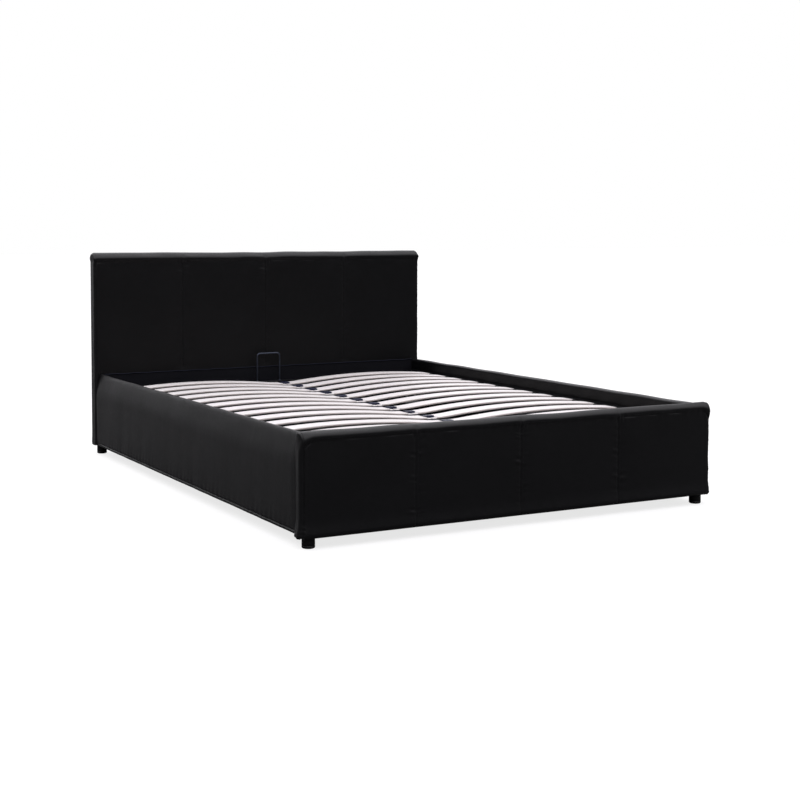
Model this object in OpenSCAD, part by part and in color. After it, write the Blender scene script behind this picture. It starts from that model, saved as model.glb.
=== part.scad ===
// Upholstered storage bed. A slatted platform lifts on four-bar arms and gas struts.
// Frame: origin at the floor, under the middle of the bed. +Y points to the headboard, +Z up.

/* [Overall] */
// Width over the padded side rails and boards
overall_width = 1630; // [1100:5:2100]
// Length from the front of the footboard to the back of the headboard
overall_length = 2190; // [1800:5:2500]
// Height of the rolled headboard top above the floor
headboard_height = 885; // [600:5:1400]
// Height of the rolled footboard top above the floor
footboard_height = 370; // [355:1:480]
// Height of the rounded side rail top above the floor
rail_height = 348; // [335:1:460]
// Gap between the floor and the underside of the boards, which is also the height of the feet
floor_clearance = 40; // [25:1:60]

/* [Upholstery] */
// Thickness of the padded headboard
headboard_thickness = 78; // [72:1:140]
// Thickness of the padded footboard
footboard_thickness = 60; // [54:1:120]
// Thickness of the padded side rail
rail_thickness = 38; // [34:1:70]
// Thickness of the leather-look covers, the linings and the back cloth
cover_thickness = 2; // [1:0.5:3]
// Radius of the padded outer corners of the two end boards
corner_radius = 20; // [12:1:26]
// Height above the floor where the headboard cover ends and the lining begins
lining_top = 355; // [300:5:420]
// Height above the floor where the covers end on the inner faces of the rails and footboard
inner_cover_edge = 307; // [280:1:330]

/* [Frame boards] */
// Thickness of the rail boards and of the lower headboard board
board_thickness = 18; // [12:1:24]
// Thickness of the headboard frame timbers
timber_thickness = 36; // [24:1:45]
// Thickness of the front panel on the headboard frame
panel_thickness = 6; // [3:1:9]
// Thickness of the footboard core
footboard_core_thickness = 30; // [18:1:36]
// Height of the floor battens and the centre beam
batten_height = 18; // [12:1:25]
// Width of the floor battens
batten_width = 24; // [18:1:40]
// Thickness of the storage floor panels
floor_thickness = 6; // [3:1:12]
// Play left around each storage floor panel
floor_play = 1; // [0.5:0.5:4]

/* [Feet] */
// Diameter of the corner feet
foot_diameter = 43; // [30:1:55]
// Distance from the side of the bed to the centre of a foot
foot_inset = 34; // [30:1:50]
// Diameter of the threaded stud of a foot
foot_stud = 8; // [6:1:10]
// Diameter of the legs under the centre beam
centre_leg_diameter = 38; // [25:1:40]

/* [Platform] */
// Height of the top of the steel lift frame above the floor
platform_top = 288; // [270:1:310]
// Height of the steel tubes
tube_height = 30; // [20:1:40]
// Width of the steel side tubes
tube_width = 25; // [20:1:40]
// Wall thickness of the steel tubes
tube_wall = 1.5; // [1:0.5:3]
// Gap between the lift frame and the side rail
platform_side_gap = 12; // [12:1:20]
// Gap between the lift frame and the headboard
platform_head_gap = 12; // [8:1:30]
// Gap between the lift frame and the footboard
platform_foot_gap = 13; // [8:1:30]

/* [Slats] */
// Width of a slat
slat_width = 70; // [40:1:90]
// Thickness of a slat
slat_thickness = 8; // [6:0.5:14]
// Rise of the slat between its ends
slat_camber = 27; // [5:1:40]
// Distance from the head end of the lift frame to the first slat
slat_head_setback = 186; // [80:1:260]
// Distance from the foot end of the lift frame to the last slat
slat_foot_setback = 131; // [80:1:260]
// Depth of the slat end inside a holder
slat_grip = 16; // [8:1:18]
// Length of an outer slat holder
side_holder_length = 33; // [26:1:45]
// Length of a centre slat holder
centre_holder_length = 50; // [40:1:90]

/* [Mattress retainer] */
// Outer width of the retainer loop
retainer_width = 120; // [80:5:400]
// Height of the top of the retainer loop above the floor
retainer_top = 420; // [360:5:480]
// Diameter of the retainer rod
retainer_rod = 7; // [5:0.5:12]

/* [Lift] */
// Turn of the rear arms from closed to open
lift_angle = 55; // [20:1:70]
// Tilt of the platform when it is fully open
open_tilt = 30; // [15:1:35]
// Length of a rear arm between its pins
rear_arm_length = 240; // [160:5:320]
// Slope of the closed rear arm
rear_arm_slope = 20; // [8:1:30]
// Distance between the two platform pins
platform_pin_spacing = 250; // [180:5:400]
// Distance from the headboard face to the rear platform pin
rear_pin_setback = 397; // [300:1:600]
// Height of the platform pins above the floor
platform_pin_height = 225; // [205:1:235]
// Height of the front base pin above the floor
front_base_pin_height = 150; // [120:1:180]
// Diameter of the pivot pins
pin_diameter = 12; // [8:1:16]
// Gap all round between a pin or rod and the bore that it turns or slides in
pin_play = 0.05; // [0.02:0.01:0.1]
// Width of the arms
arm_width = 36; // [26:1:50]
// Distance along the rear arm from its base pin to the strut stud
strut_stud_distance = 120; // [80:5:160]
// Outer diameter of the gas strut cylinder
strut_diameter = 22; // [16:1:22]
// Diameter of the gas strut rod
rod_diameter = 10; // [6:1:12]

/* [Hidden] */
$fn = 48;
half_width = overall_width / 2;
head_back = overall_length / 2;
foot_front = -overall_length / 2;
head_face = head_back - headboard_thickness;
foot_face = foot_front + footboard_thickness;
inner_x = half_width - rail_thickness;
skin = cover_thickness;
under = floor_clearance;
core_bottom = under + skin;

// rail section
rail_core_in = inner_x + skin;
rail_core_out = rail_core_in + board_thickness;
rail_roll = rail_thickness / 2;
rail_roll_z = rail_height - rail_roll;

// headboard section
head_roll = headboard_thickness / 2;
head_roll_z = headboard_height - head_roll;
core_half = half_width - corner_radius;
timber_front = head_back - skin - timber_thickness;
panel_front = timber_front - panel_thickness;
core_top = headboard_height - 49;
lower_top = lining_top - 5;
stile_width = 60;

// footboard section
foot_roll = footboard_thickness / 2;
foot_roll_z = footboard_height - foot_roll;
foot_core_back = foot_face - skin;
foot_core_front = foot_core_back - footboard_core_thickness;
foot_core_top = footboard_height - 32;

// feet
foot_head_y = head_back - foot_inset - 4;
foot_foot_y = foot_front + foot_inset + 4;
stud_length = 32;

// storage floor
floor_top = core_bottom + batten_height;
floor_mid = (head_face + foot_face) / 2;

// corner brackets and bolts
bracket = 3;
bracket_leg = 60;
bracket_low = 90;
bracket_high = 200;
bolt = 8;
bolt_head = 14;
bolt_head_height = 4;
bolt_zs = [115, 175];

// side layers of the lift mechanism, from the rail board inward
plate_in = rail_core_in - 4;
arm_out = plate_in - 1;
arm_in = arm_out - 5;
web_out = arm_in - 3;
web_in = web_out - 4;
strut_x = arm_in - 2 - strut_diameter / 2 - 1;

// platform
tube_low = platform_top - tube_height;
side_out = inner_x - platform_side_gap;
side_in = side_out - tube_width;
plat_head = head_face - platform_head_gap;
plat_foot = foot_face + platform_foot_gap;
end_tube = 30;
centre_tube = 30;

// slats
rows = 13;
slat_pitch = (plat_head - plat_foot - slat_head_setback - slat_foot_setback) / (rows - 1);
slat_out = side_out - 3 - side_holder_length;
slat_in = centre_holder_length / 2 - 1;
slat_mid = (slat_out + slat_in) / 2;
slat_half = (slat_out - slat_in) / 2;
slat_radius = (slat_half * slat_half + slat_camber * slat_camber) / (2 * slat_camber);
slat_end_z = platform_top + 4;
holder_top = slat_end_z + slat_thickness + 3.5;
holder_width = slat_width + 6;

// linkage, all in the plane of the side view as [y, z]
p1 = [head_face - rear_pin_setback, platform_pin_height];
p2 = [p1[0] - platform_pin_spacing, platform_pin_height];
b1 = [p1[0] - rear_arm_length * cos(rear_arm_slope),
      p1[1] - rear_arm_length * sin(rear_arm_slope)];
open_slope = rear_arm_slope + lift_angle;
p1_open = [b1[0] + rear_arm_length * cos(open_slope), b1[1] + rear_arm_length * sin(open_slope)];
p2_open = [p1_open[0] - platform_pin_spacing * cos(open_tilt),
           p1_open[1] + platform_pin_spacing * sin(open_tilt)];
chord = [p2_open[0] - p2[0], p2_open[1] - p2[1]];
mid = [(p2_open[0] + p2[0]) / 2, (p2_open[1] + p2[1]) / 2];
b2 = [mid[0] - (front_base_pin_height - mid[1]) * chord[1] / chord[0], front_base_pin_height];
front_arm_length = sqrt(pow(p2[0] - b2[0], 2) + pow(p2[1] - b2[1], 2));
front_arm_slope = atan2(p2[1] - b2[1], p2[0] - b2[0]);

// gas strut from the base near the headboard to the rear arm
strut_base = [head_face - 117, 105];
strut_eye = [b1[0] + strut_stud_distance * cos(rear_arm_slope),
             b1[1] + strut_stud_distance * sin(rear_arm_slope)];
strut_run = [strut_eye[0] - strut_base[0], strut_eye[1] - strut_base[1]];
strut_length = sqrt(pow(strut_run[0], 2) + pow(strut_run[1], 2));
strut_slope = atan2(strut_run[1], strut_run[0]);
cylinder_end = strut_length * 0.62;
eye_diameter = 18;
eye_thickness = 8;

leather = [0.13, 0.13, 0.14];
navy = [0.07, 0.08, 0.13];
foam = [0.85, 0.80, 0.60];
timber = [0.76, 0.60, 0.42];
steel = [0.20, 0.20, 0.22];
zinc = [0.68, 0.69, 0.71];
plastic = [0.06, 0.06, 0.07];
cloth = [0.09, 0.09, 0.10];
beech = [0.90, 0.86, 0.80];

// ---------- helpers ----------

// box between two corner points
module span(a, b) {
  translate(a) cube([b[0] - a[0], b[1] - a[1], b[2] - a[2]]);
}

// the same thing on both sides of the bed
module both() {
  children();
  mirror([1, 0, 0]) children();
}

// rod or bore along X
module along_x(x0, x1, y, z, d) {
  translate([x0, y, z]) rotate([0, 90, 0]) cylinder(d = d, h = x1 - x0);
}

// rod or bore along Y
module along_y(x, y0, y1, z, d) {
  translate([x, y0, z]) rotate([-90, 0, 0]) cylinder(d = d, h = y1 - y0);
}

// flat shape in the side view, drawn as [y, z], given a thickness from x0 to x1
module side_plate(x0, x1) {
  translate([x0, 0, 0]) rotate([90, 0, 90]) linear_extrude(height = x1 - x0) children();
}

// flat shape in the end view, drawn as [x, z], given a depth from y0 to y1
module end_plate(y0, y1) {
  translate([0, y1, 0]) rotate([90, 0, 0]) linear_extrude(height = y1 - y0) children();
}

// rectangle with round corners, centred
module soft_rect(w, h, r) {
  square([w - 2 * r, h], center = true);
  square([w, h - 2 * r], center = true);
  for (sx = [-1, 1], sy = [-1, 1])
    translate([sx * (w / 2 - r), sy * (h / 2 - r)]) circle(r = r);
}

// link outline from one pin to another
module link(a, length, slope, w) {
  translate(a) rotate(slope) {
    circle(d = w);
    translate([length, 0]) circle(d = w);
    translate([0, -w / 2]) square([length, w]);
  }
}

// solid end board with a rolled top and round upright corners, shrunk by s all round
module end_board(y0, y1, roll_z, roll, s) {
  intersection() {
    side_plate(-half_width + s, half_width - s) {
      translate([(y0 + y1) / 2, roll_z]) circle(r = roll - s);
      translate([y0 + s, under + s]) square([y1 - y0 - 2 * s, roll_z - under - s]);
    }
    translate([0, (y0 + y1) / 2, 0])
      linear_extrude(height = headboard_height + 10)
        soft_rect(overall_width - 2 * s, y1 - y0 - 2 * s, corner_radius - s);
  }
}

module headboard_solid(s) { end_board(head_face, head_back, head_roll_z, head_roll, s); }
module footboard_solid(s) { end_board(foot_front, foot_face, foot_roll_z, foot_roll, s); }

// studs of the corner feet, grown by g
module foot_studs(g) {
  for (sx = [-1, 1], y = [foot_foot_y, foot_head_y])
    translate([sx * (half_width - foot_inset), y, under - (g > 0 ? 1 : 0)])
      cylinder(d = foot_stud + g, h = stud_length + (g > 0 ? 1 : 0));
}

// shafts of the bolts that pull the four corners together
module bolt_shafts() {
  both() for (z = bolt_zs) {
    along_x(rail_core_in - bracket, rail_core_out - 3, head_face - 40, z, bolt);
    along_x(rail_core_in - bracket, rail_core_out - 3, foot_face + 40, z, bolt);
    along_y(inner_x - 30, head_face - bracket, head_face + skin + 15, z, bolt);
    along_y(inner_x - 30, foot_core_back - 15, foot_face + bracket, z, bolt);
  }
}

// ---------- headboard ----------

module headboard_frame() {
  color(timber) difference() {
    union() {
      both() {
        span([core_half - stile_width, timber_front, core_bottom],
             [core_half, head_back - skin, core_top]);
        span([core_half - stile_width, head_face + skin + board_thickness, core_bottom],
             [core_half, timber_front + 1, lower_top]);
        span([core_half / 3 - 20, timber_front, core_bottom],
             [core_half / 3 + 20, head_back - skin, core_top]);
        span([core_half / 3 - 20, head_face + skin + board_thickness, core_bottom],
             [core_half / 3 + 20, timber_front + 1, lower_top]);
      }
      for (z = [core_bottom, lower_top - 20, (lower_top + core_top) / 2 - 20, core_top - 40])
        span([-core_half + 1, timber_front, z], [core_half - 1, head_back - skin, z + 40]);
    }
    foot_studs(0);
  }
}

module headboard_lower_board() {
  color(timber) difference() {
    span([-core_half, head_face + skin, core_bottom],
         [core_half, head_face + skin + board_thickness, lower_top]);
    bolt_shafts();
  }
}

module headboard_panel() {
  color(timber)
    span([-core_half, panel_front, lower_top], [core_half, timber_front, core_top]);
}

module headboard_padding() {
  color(foam) difference() {
    headboard_solid(skin);
    span([-core_half, head_face, under], [core_half, head_back, lower_top]);
    span([-core_half, panel_front, lower_top - 1], [core_half, head_back, core_top]);
  }
}

module headboard_cover() {
  color(leather) difference() {
    headboard_solid(0);
    headboard_solid(skin);
    span([-inner_x, head_face - 1, under - 1], [inner_x, head_face + skin, lining_top]);
    span([-core_half + 20, head_back - skin, under + 35],
         [core_half - 20, head_back + 1, core_top - 20]);
    foot_studs(0.4);
  }
}

module headboard_lining() {
  color(navy) difference() {
    span([-inner_x, head_face, under], [inner_x, head_face + skin, lining_top]);
    bolt_shafts();
  }
}

module headboard_back_cloth() {
  color(cloth)
    span([-core_half + 20, head_back - skin, under + 35],
         [core_half - 20, head_back, core_top - 20]);
}

// ---------- footboard ----------

module footboard_core() {
  color(timber) difference() {
    span([-core_half, foot_core_front, core_bottom], [core_half, foot_core_back, foot_core_top]);
    foot_studs(0);
    bolt_shafts();
  }
}

module footboard_padding() {
  color(foam) difference() {
    footboard_solid(skin);
    span([-core_half, foot_core_front, under], [core_half, foot_core_back + 1, foot_core_top]);
  }
}

module footboard_cover() {
  color(leather) difference() {
    footboard_solid(0);
    footboard_solid(skin);
    span([-inner_x, foot_face - skin, under - 1], [inner_x, foot_face + 1, inner_cover_edge]);
    foot_studs(0.4);
  }
}

module footboard_lining() {
  color(navy) difference() {
    span([-inner_x, foot_face - skin, under], [inner_x, foot_face, inner_cover_edge]);
    bolt_shafts();
  }
}

// ---------- side rails, right side drawn and mirrored ----------

module rail_outline(s) {
  translate([inner_x + rail_roll, rail_roll_z]) circle(r = rail_roll - s);
  translate([inner_x + s, under + s]) square([rail_thickness - 2 * s, rail_roll_z - under - s]);
}

module rail_core() {
  color(timber) difference() {
    span([rail_core_in, foot_face, core_bottom], [rail_core_out, head_face, rail_roll_z]);
    bolt_shafts();
  }
}

module rail_padding() {
  color(foam) end_plate(foot_face, head_face) difference() {
    rail_outline(skin);
    translate([rail_core_in - 1, core_bottom - 1])
      square([board_thickness + 1, rail_roll_z - core_bottom + 1]);
  }
}

module rail_cover() {
  color(leather) end_plate(foot_face, head_face) difference() {
    rail_outline(0);
    rail_outline(skin);
    translate([inner_x - 1, under - 1]) square([skin + 1, inner_cover_edge - under + 1]);
  }
}

module rail_core_right() { rail_core(); }
module rail_core_left() { mirror([1, 0, 0]) rail_core(); }
module rail_padding_right() { rail_padding(); }
module rail_padding_left() { mirror([1, 0, 0]) rail_padding(); }
module rail_cover_right() { rail_cover(); }
module rail_cover_left() { mirror([1, 0, 0]) rail_cover(); }

// ---------- storage floor ----------

module floor_battens() {
  gap = floor_play / 2;
  edge = rail_core_in - batten_width;
  color(timber) {
    both() span([edge, foot_face, core_bottom], [rail_core_in, head_face, floor_top]);
    span([-edge + gap, foot_face, core_bottom],
         [edge - gap, foot_face + batten_width, floor_top]);
    span([-edge + gap, head_face - batten_width, core_bottom],
         [edge - gap, head_face, floor_top]);
    both() span([20 + gap, floor_mid - 25, core_bottom],
                [edge - gap, floor_mid + 25, floor_top]);
  }
}

module centre_beam() {
  color(timber) span([-20, foot_face + batten_width, core_bottom],
                     [20, head_face - batten_width, floor_top]);
}

module centre_legs() {
  color(plastic) for (k = [-1, 0, 1])
    translate([0, floor_mid + k * (head_face - foot_face) * 0.3, 0])
      foot_shape(centre_leg_diameter, core_bottom);
}

module floor_panel_head() {
  color(timber) span([-rail_core_in + floor_play, floor_mid + floor_play / 2, floor_top],
                     [rail_core_in - floor_play, head_face - floor_play, floor_top + floor_thickness]);
}

module floor_panel_foot() {
  color(timber) span([-rail_core_in + floor_play, foot_face + floor_play, floor_top],
                     [rail_core_in - floor_play, floor_mid - floor_play / 2, floor_top + floor_thickness]);
}

// ---------- feet and frame hardware ----------

// round glide foot with a soft lower edge
module foot_shape(d, h) {
  rotate_extrude() {
    square([d / 2 - 5, h]);
    translate([0, 5]) square([d / 2, h - 5]);
    translate([d / 2 - 5, 5]) intersection() {
      circle(r = 5);
      translate([0, -5]) square([5, 5]);
    }
  }
}

module feet() {
  color(plastic) {
    for (sx = [-1, 1], y = [foot_foot_y, foot_head_y])
      translate([sx * (half_width - foot_inset), y, 0]) union() {
        foot_shape(foot_diameter, under);
        translate([0, 0, under - 1]) cylinder(d = foot_stud, h = stud_length + 1);
      }
  }
}

module corner_brackets() {
  color(steel) difference() {
    both() {
      span([rail_core_in - bracket, head_face - bracket_leg, bracket_low],
           [rail_core_in, head_face, bracket_high]);
      span([rail_core_in - bracket_leg, head_face - bracket, bracket_low],
           [rail_core_in - bracket + 1, head_face, bracket_high]);
      span([rail_core_in - bracket, foot_face, bracket_low],
           [rail_core_in, foot_face + bracket_leg, bracket_high]);
      span([rail_core_in - bracket_leg, foot_face, bracket_low],
           [rail_core_in - bracket + 1, foot_face + bracket, bracket_high]);
    }
    bolt_shafts();
  }
}

module frame_bolts() {
  color(zinc) {
    bolt_shafts();
    both() for (z = bolt_zs) {
      for (y = [head_face - 40, foot_face + 40])
        along_x(rail_core_in - bracket - bolt_head_height, rail_core_in - bracket, y, z, bolt_head);
      along_y(inner_x - 30, head_face - bracket - bolt_head_height, head_face - bracket, z, bolt_head);
      along_y(inner_x - 30, foot_face + bracket, foot_face + bracket + bolt_head_height, z, bolt_head);
    }
  }
}

// ---------- lift mechanism, base side ----------

module hinge_plate() {
  color(steel) side_plate(plate_in, rail_core_in) difference() {
    union() {
      for (p = [b1, b2]) translate(p) circle(d = arm_width + 26);
      translate([b2[0], min(b1[1], b2[1]) - 22]) square([b1[0] - b2[0], 44 + abs(b1[1] - b2[1])]);
    }
    for (p = [b1, b2]) translate(p) circle(d = pin_diameter);
  }
}

module hinge_plate_right() { hinge_plate(); }
module hinge_plate_left() { mirror([1, 0, 0]) hinge_plate(); }

module base_pivot_pins() {
  color(zinc) both() for (p = [b1, b2]) {
    along_x(arm_in - 1.2, rail_core_in, p[0], p[1], pin_diameter);
    along_x(arm_in - 3, arm_in - 1, p[0], p[1], pin_diameter + 7);
  }
}

module strut_brackets() {
  color(steel) both() {
    side_plate(plate_in, rail_core_in)
      translate([strut_base[0], strut_base[1] + 6]) soft_rect(60, 56, 10);
    along_x(strut_x - eye_thickness / 2 - 3, plate_in + 1, strut_base[0], strut_base[1], bolt);
    along_x(strut_x + eye_thickness / 2 + 1, plate_in + 1, strut_base[0], strut_base[1], 14);
    along_x(strut_x - eye_thickness / 2 - 3, strut_x - eye_thickness / 2 - 1,
            strut_base[0], strut_base[1], 13);
  }
}

// ---------- arms ----------

module rear_arm() {
  color(steel) {
    side_plate(arm_in, arm_out) difference() {
      link(b1, rear_arm_length, rear_arm_slope, arm_width);
      for (p = [b1, p1]) translate(p) circle(d = pin_diameter + 2 * pin_play);
    }
    along_x(strut_x + eye_thickness / 2 + 1, arm_in + 1, strut_eye[0], strut_eye[1], bolt);
  }
}

module rear_arm_right() { rear_arm(); }
module rear_arm_left() { mirror([1, 0, 0]) rear_arm(); }

module front_arm() {
  color(steel) {
    side_plate(arm_in, arm_out) difference() {
      link(b2, front_arm_length, front_arm_slope, arm_width);
      translate(b2) circle(d = pin_diameter + 2 * pin_play);
    }
    along_x(web_out + 1, arm_in + 1, p2[0], p2[1], pin_diameter + 7);
  }
}

module front_arm_right() { front_arm(); }
module front_arm_left() { mirror([1, 0, 0]) front_arm(); }

// ---------- gas struts ----------

// place a strut part so that it runs from the base stud towards the arm stud
module on_strut() {
  translate([strut_x, strut_base[0], strut_base[1]]) rotate([strut_slope - 90, 0, 0]) children();
}

module strut_cylinders() {
  color(plastic) both() on_strut() difference() {
    union() {
      translate([0, 0, 12]) cylinder(d = strut_diameter, h = cylinder_end - 12);
      translate([0, 0, 6]) cylinder(d = 7, h = 8);
      rotate([0, 90, 0]) translate([0, 0, -eye_thickness / 2])
        cylinder(d = eye_diameter, h = eye_thickness);
    }
    rotate([0, 90, 0]) translate([0, 0, -eye_thickness])
      cylinder(d = bolt + 2 * pin_play, h = 2 * eye_thickness);
    translate([0, 0, 22]) cylinder(d = strut_diameter - 3, h = cylinder_end - 28);
    translate([0, 0, cylinder_end - 10]) cylinder(d = rod_diameter + 2 * pin_play, h = 12);
  }
}

module strut_rods() {
  color(zinc) both() on_strut() difference() {
    union() {
      translate([0, 0, cylinder_end * 0.46])
        cylinder(d = rod_diameter, h = strut_length - cylinder_end * 0.46 - 6);
      translate([0, 0, cylinder_end * 0.46]) cylinder(d = strut_diameter - 4, h = 14);
      translate([0, 0, strut_length]) rotate([0, 90, 0]) translate([0, 0, -eye_thickness / 2])
        cylinder(d = eye_diameter, h = eye_thickness);
    }
    translate([0, 0, strut_length]) rotate([0, 90, 0]) translate([0, 0, -eye_thickness])
      cylinder(d = bolt + 2 * pin_play, h = 2 * eye_thickness);
  }
}

// ---------- platform ----------

// steel box tube between two corner points, open at both ends along its long axis
module box_tube(a, b, axis) {
  w = tube_wall;
  difference() {
    span(a, b);
    if (axis == 1) span([a[0] + w, a[1] - 1, a[2] + w], [b[0] - w, b[1] + 1, b[2] - w]);
    else span([a[0] - 1, a[1] + w, a[2] + w], [b[0] + 1, b[1] - w, b[2] - w]);
  }
}

module platform_side_tubes() {
  color(steel) both()
    box_tube([side_in, plat_foot, tube_low], [side_out, plat_head, platform_top], 1);
}

module platform_head_tube() {
  color(steel) box_tube([-side_in, plat_head - end_tube, tube_low],
                        [side_in, plat_head, platform_top], 0);
}

module platform_foot_tube() {
  color(steel) box_tube([-side_in, plat_foot, tube_low],
                        [side_in, plat_foot + end_tube, platform_top], 0);
}

module platform_centre_tube() {
  color(steel) box_tube([-centre_tube / 2, plat_foot + end_tube, tube_low],
                        [centre_tube / 2, plat_head - end_tube, platform_top], 1);
}

module platform_cross_tubes() {
  color(steel) both() for (k = [-1, 0, 1]) {
    y = (plat_head + plat_foot) / 2 + k * slat_pitch * 3.5;
    box_tube([centre_tube / 2, y - 15, tube_low], [side_in, y + 15, platform_top], 0);
  }
}

// hanger under each side tube that carries the two platform pins
module lift_brackets() {
  color(steel) both() {
    difference() {
      side_plate(web_in, web_out) difference() {
        union() {
          for (p = [p1, p2]) translate(p) circle(d = 36);
          translate([p2[0] - 18, p1[1]]) square([platform_pin_spacing + 36, tube_low - p1[1]]);
          translate([p2[0], p1[1] - 12]) square([platform_pin_spacing, 24]);
        }
        for (p = [p1, p2]) translate(p) circle(d = pin_diameter);
      }
    }
    span([side_in, p2[0] - 18, tube_low - 3], [web_out, p1[0] + 18, tube_low]);
  }
}

module platform_pivot_pins() {
  color(zinc) both() {
    along_x(web_in - 1, arm_out, p1[0], p1[1], pin_diameter);
    along_x(web_in - 3, web_in, p1[0], p1[1], pin_diameter + 7);
  }
}

module mattress_retainer() {
  r = 20;
  x = retainer_width / 2 - retainer_rod / 2;
  y = plat_head - 10;
  z = retainer_top - retainer_rod / 2;
  color(steel) {
    both() {
      translate([x, y, platform_top]) cylinder(d = retainer_rod, h = z - r - platform_top);
      translate([x - r, y, z - r]) rotate([90, 0, 0]) rotate_extrude(angle = 90)
        translate([r, 0]) circle(d = retainer_rod);
    }
    along_x(-x + r, x - r, y, z, retainer_rod);
  }
}

module pull_strap() {
  rise = 34;
  half = 90;
  r = (half * half + rise * rise) / (2 * rise);
  color(cloth) end_plate(plat_foot + 2.5, plat_foot + end_tube - 2.5) {
    intersection() {
      translate([0, platform_top + rise - r]) difference() {
        circle(r = r, $fn = 96);
        circle(r = r - 3, $fn = 96);
      }
      translate([-half, platform_top]) square([2 * half, rise + 1]);
    }
    for (s = [-1, 1])
      translate([s > 0 ? half - 12 : -half - 28, platform_top]) square([40, 3]);
  }
}

// arched strip of one slat in the end view, from x0 to x1
module slat_outline(x0, x1) {
  top = slat_end_z + slat_thickness + slat_camber;
  intersection() {
    translate([slat_mid, top - slat_radius]) difference() {
      circle(r = slat_radius, $fn = 360);
      circle(r = slat_radius - slat_thickness, $fn = 360);
    }
    translate([x0, platform_top]) square([x1 - x0, slat_camber + slat_thickness + 20]);
  }
}

function row_y(k) = plat_head - slat_head_setback - (k - 1) * slat_pitch;

module slat_pair(k) {
  color(beech) both()
    end_plate(row_y(k) - slat_width / 2, row_y(k) + slat_width / 2)
      slat_outline(slat_in - slat_grip, slat_out + slat_grip);
}

// holder blocks are cut by the slats that they grip
module centre_holders() {
  color(navy) for (k = [1 : rows]) difference() {
    span([-centre_holder_length / 2, row_y(k) - holder_width / 2, platform_top],
         [centre_holder_length / 2, row_y(k) + holder_width / 2, holder_top]);
    slat_pair(k);
  }
}

module side_holders() {
  color(plastic) both() for (k = [1 : rows]) difference() {
    span([slat_out - 1, row_y(k) - holder_width / 2, platform_top],
         [slat_out + side_holder_length, row_y(k) + holder_width / 2, holder_top]);
    slat_pair(k);
  }
}

module slat_row_01() { slat_pair(1); }
module slat_row_02() { slat_pair(2); }
module slat_row_03() { slat_pair(3); }
module slat_row_04() { slat_pair(4); }
module slat_row_05() { slat_pair(5); }
module slat_row_06() { slat_pair(6); }
module slat_row_07() { slat_pair(7); }
module slat_row_08() { slat_pair(8); }
module slat_row_09() { slat_pair(9); }
module slat_row_10() { slat_pair(10); }
module slat_row_11() { slat_pair(11); }
module slat_row_12() { slat_pair(12); }
module slat_row_13() { slat_pair(13); }

// ---------- draw ----------

headboard_frame();
headboard_lower_board();
headboard_panel();
headboard_padding();
headboard_cover();
headboard_lining();
headboard_back_cloth();
footboard_core();
footboard_padding();
footboard_cover();
footboard_lining();
rail_core_left();
rail_core_right();
rail_padding_left();
rail_padding_right();
rail_cover_left();
rail_cover_right();
floor_battens();
centre_beam();
centre_legs();
feet();
corner_brackets();
frame_bolts();
floor_panel_head();
floor_panel_foot();
hinge_plate_left();
hinge_plate_right();
base_pivot_pins();
strut_brackets();
rear_arm_left();
rear_arm_right();
front_arm_left();
front_arm_right();
strut_cylinders();
strut_rods();
platform_side_tubes();
platform_head_tube();
platform_foot_tube();
platform_centre_tube();
platform_cross_tubes();
lift_brackets();
platform_pivot_pins();
mattress_retainer();
pull_strap();
centre_holders();
side_holders();
slat_row_01();
slat_row_02();
slat_row_03();
slat_row_04();
slat_row_05();
slat_row_06();
slat_row_07();
slat_row_08();
slat_row_09();
slat_row_10();
slat_row_11();
slat_row_12();
slat_row_13();
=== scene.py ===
"""Upholstered storage bed: sewn covers, linings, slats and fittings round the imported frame.

Everything is in metres. X runs across the bed, +Y points to the headboard and +Z up.
"""

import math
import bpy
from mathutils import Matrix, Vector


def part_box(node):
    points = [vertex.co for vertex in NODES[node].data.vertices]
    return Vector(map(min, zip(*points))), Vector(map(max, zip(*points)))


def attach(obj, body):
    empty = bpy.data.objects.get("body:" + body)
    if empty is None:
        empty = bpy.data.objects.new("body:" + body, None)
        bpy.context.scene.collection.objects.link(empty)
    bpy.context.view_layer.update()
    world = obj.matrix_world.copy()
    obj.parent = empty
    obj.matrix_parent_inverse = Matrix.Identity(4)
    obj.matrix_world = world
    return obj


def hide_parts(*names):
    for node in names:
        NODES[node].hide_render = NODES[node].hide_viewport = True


bl_info = {
    "name": "Upholstered storage bed",
    "version": (1, 0, 0),
    "blender": (4, 5, 0),
    "location": "View3D > Sidebar > Bed",
    "description": "Builds the covers, linings, slats and finishes of a lift-up storage bed",
    "category": "Add Mesh",
}

import bpy
import numpy as np
from bpy.props import FloatProperty, FloatVectorProperty, PointerProperty
from bpy.types import Operator, Panel, PropertyGroup
from mathutils import Matrix, Vector

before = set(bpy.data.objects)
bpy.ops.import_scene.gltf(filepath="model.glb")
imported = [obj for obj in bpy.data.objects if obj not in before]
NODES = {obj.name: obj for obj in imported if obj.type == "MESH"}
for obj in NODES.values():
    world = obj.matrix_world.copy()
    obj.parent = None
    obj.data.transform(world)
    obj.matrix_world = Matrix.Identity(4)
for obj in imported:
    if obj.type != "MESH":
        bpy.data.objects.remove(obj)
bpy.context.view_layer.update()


def corners(node):
    """Lowest and highest corner of a frame node, as two arrays."""
    low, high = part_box(node)
    return np.array(low), np.array(high)


HEAD_LOW, HEAD_HIGH = corners("headboard_cover")
FOOT_LOW, FOOT_HIGH = corners("footboard_cover")
RAIL_LOW, RAIL_HIGH = corners("rail_cover_right")
LINING_LOW, LINING_HIGH = corners("headboard_lining")
FOOT_LINING_LOW, FOOT_LINING_HIGH = corners("footboard_lining")
CLOTH_LOW, CLOTH_HIGH = corners("headboard_back_cloth")
HALF_WIDTH = float(HEAD_HIGH[0])
SLAT_ROWS = sorted(n for n in NODES if n.startswith("slat_row_"))


# ---------------------------------------------------------------- sizes and colours


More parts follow.
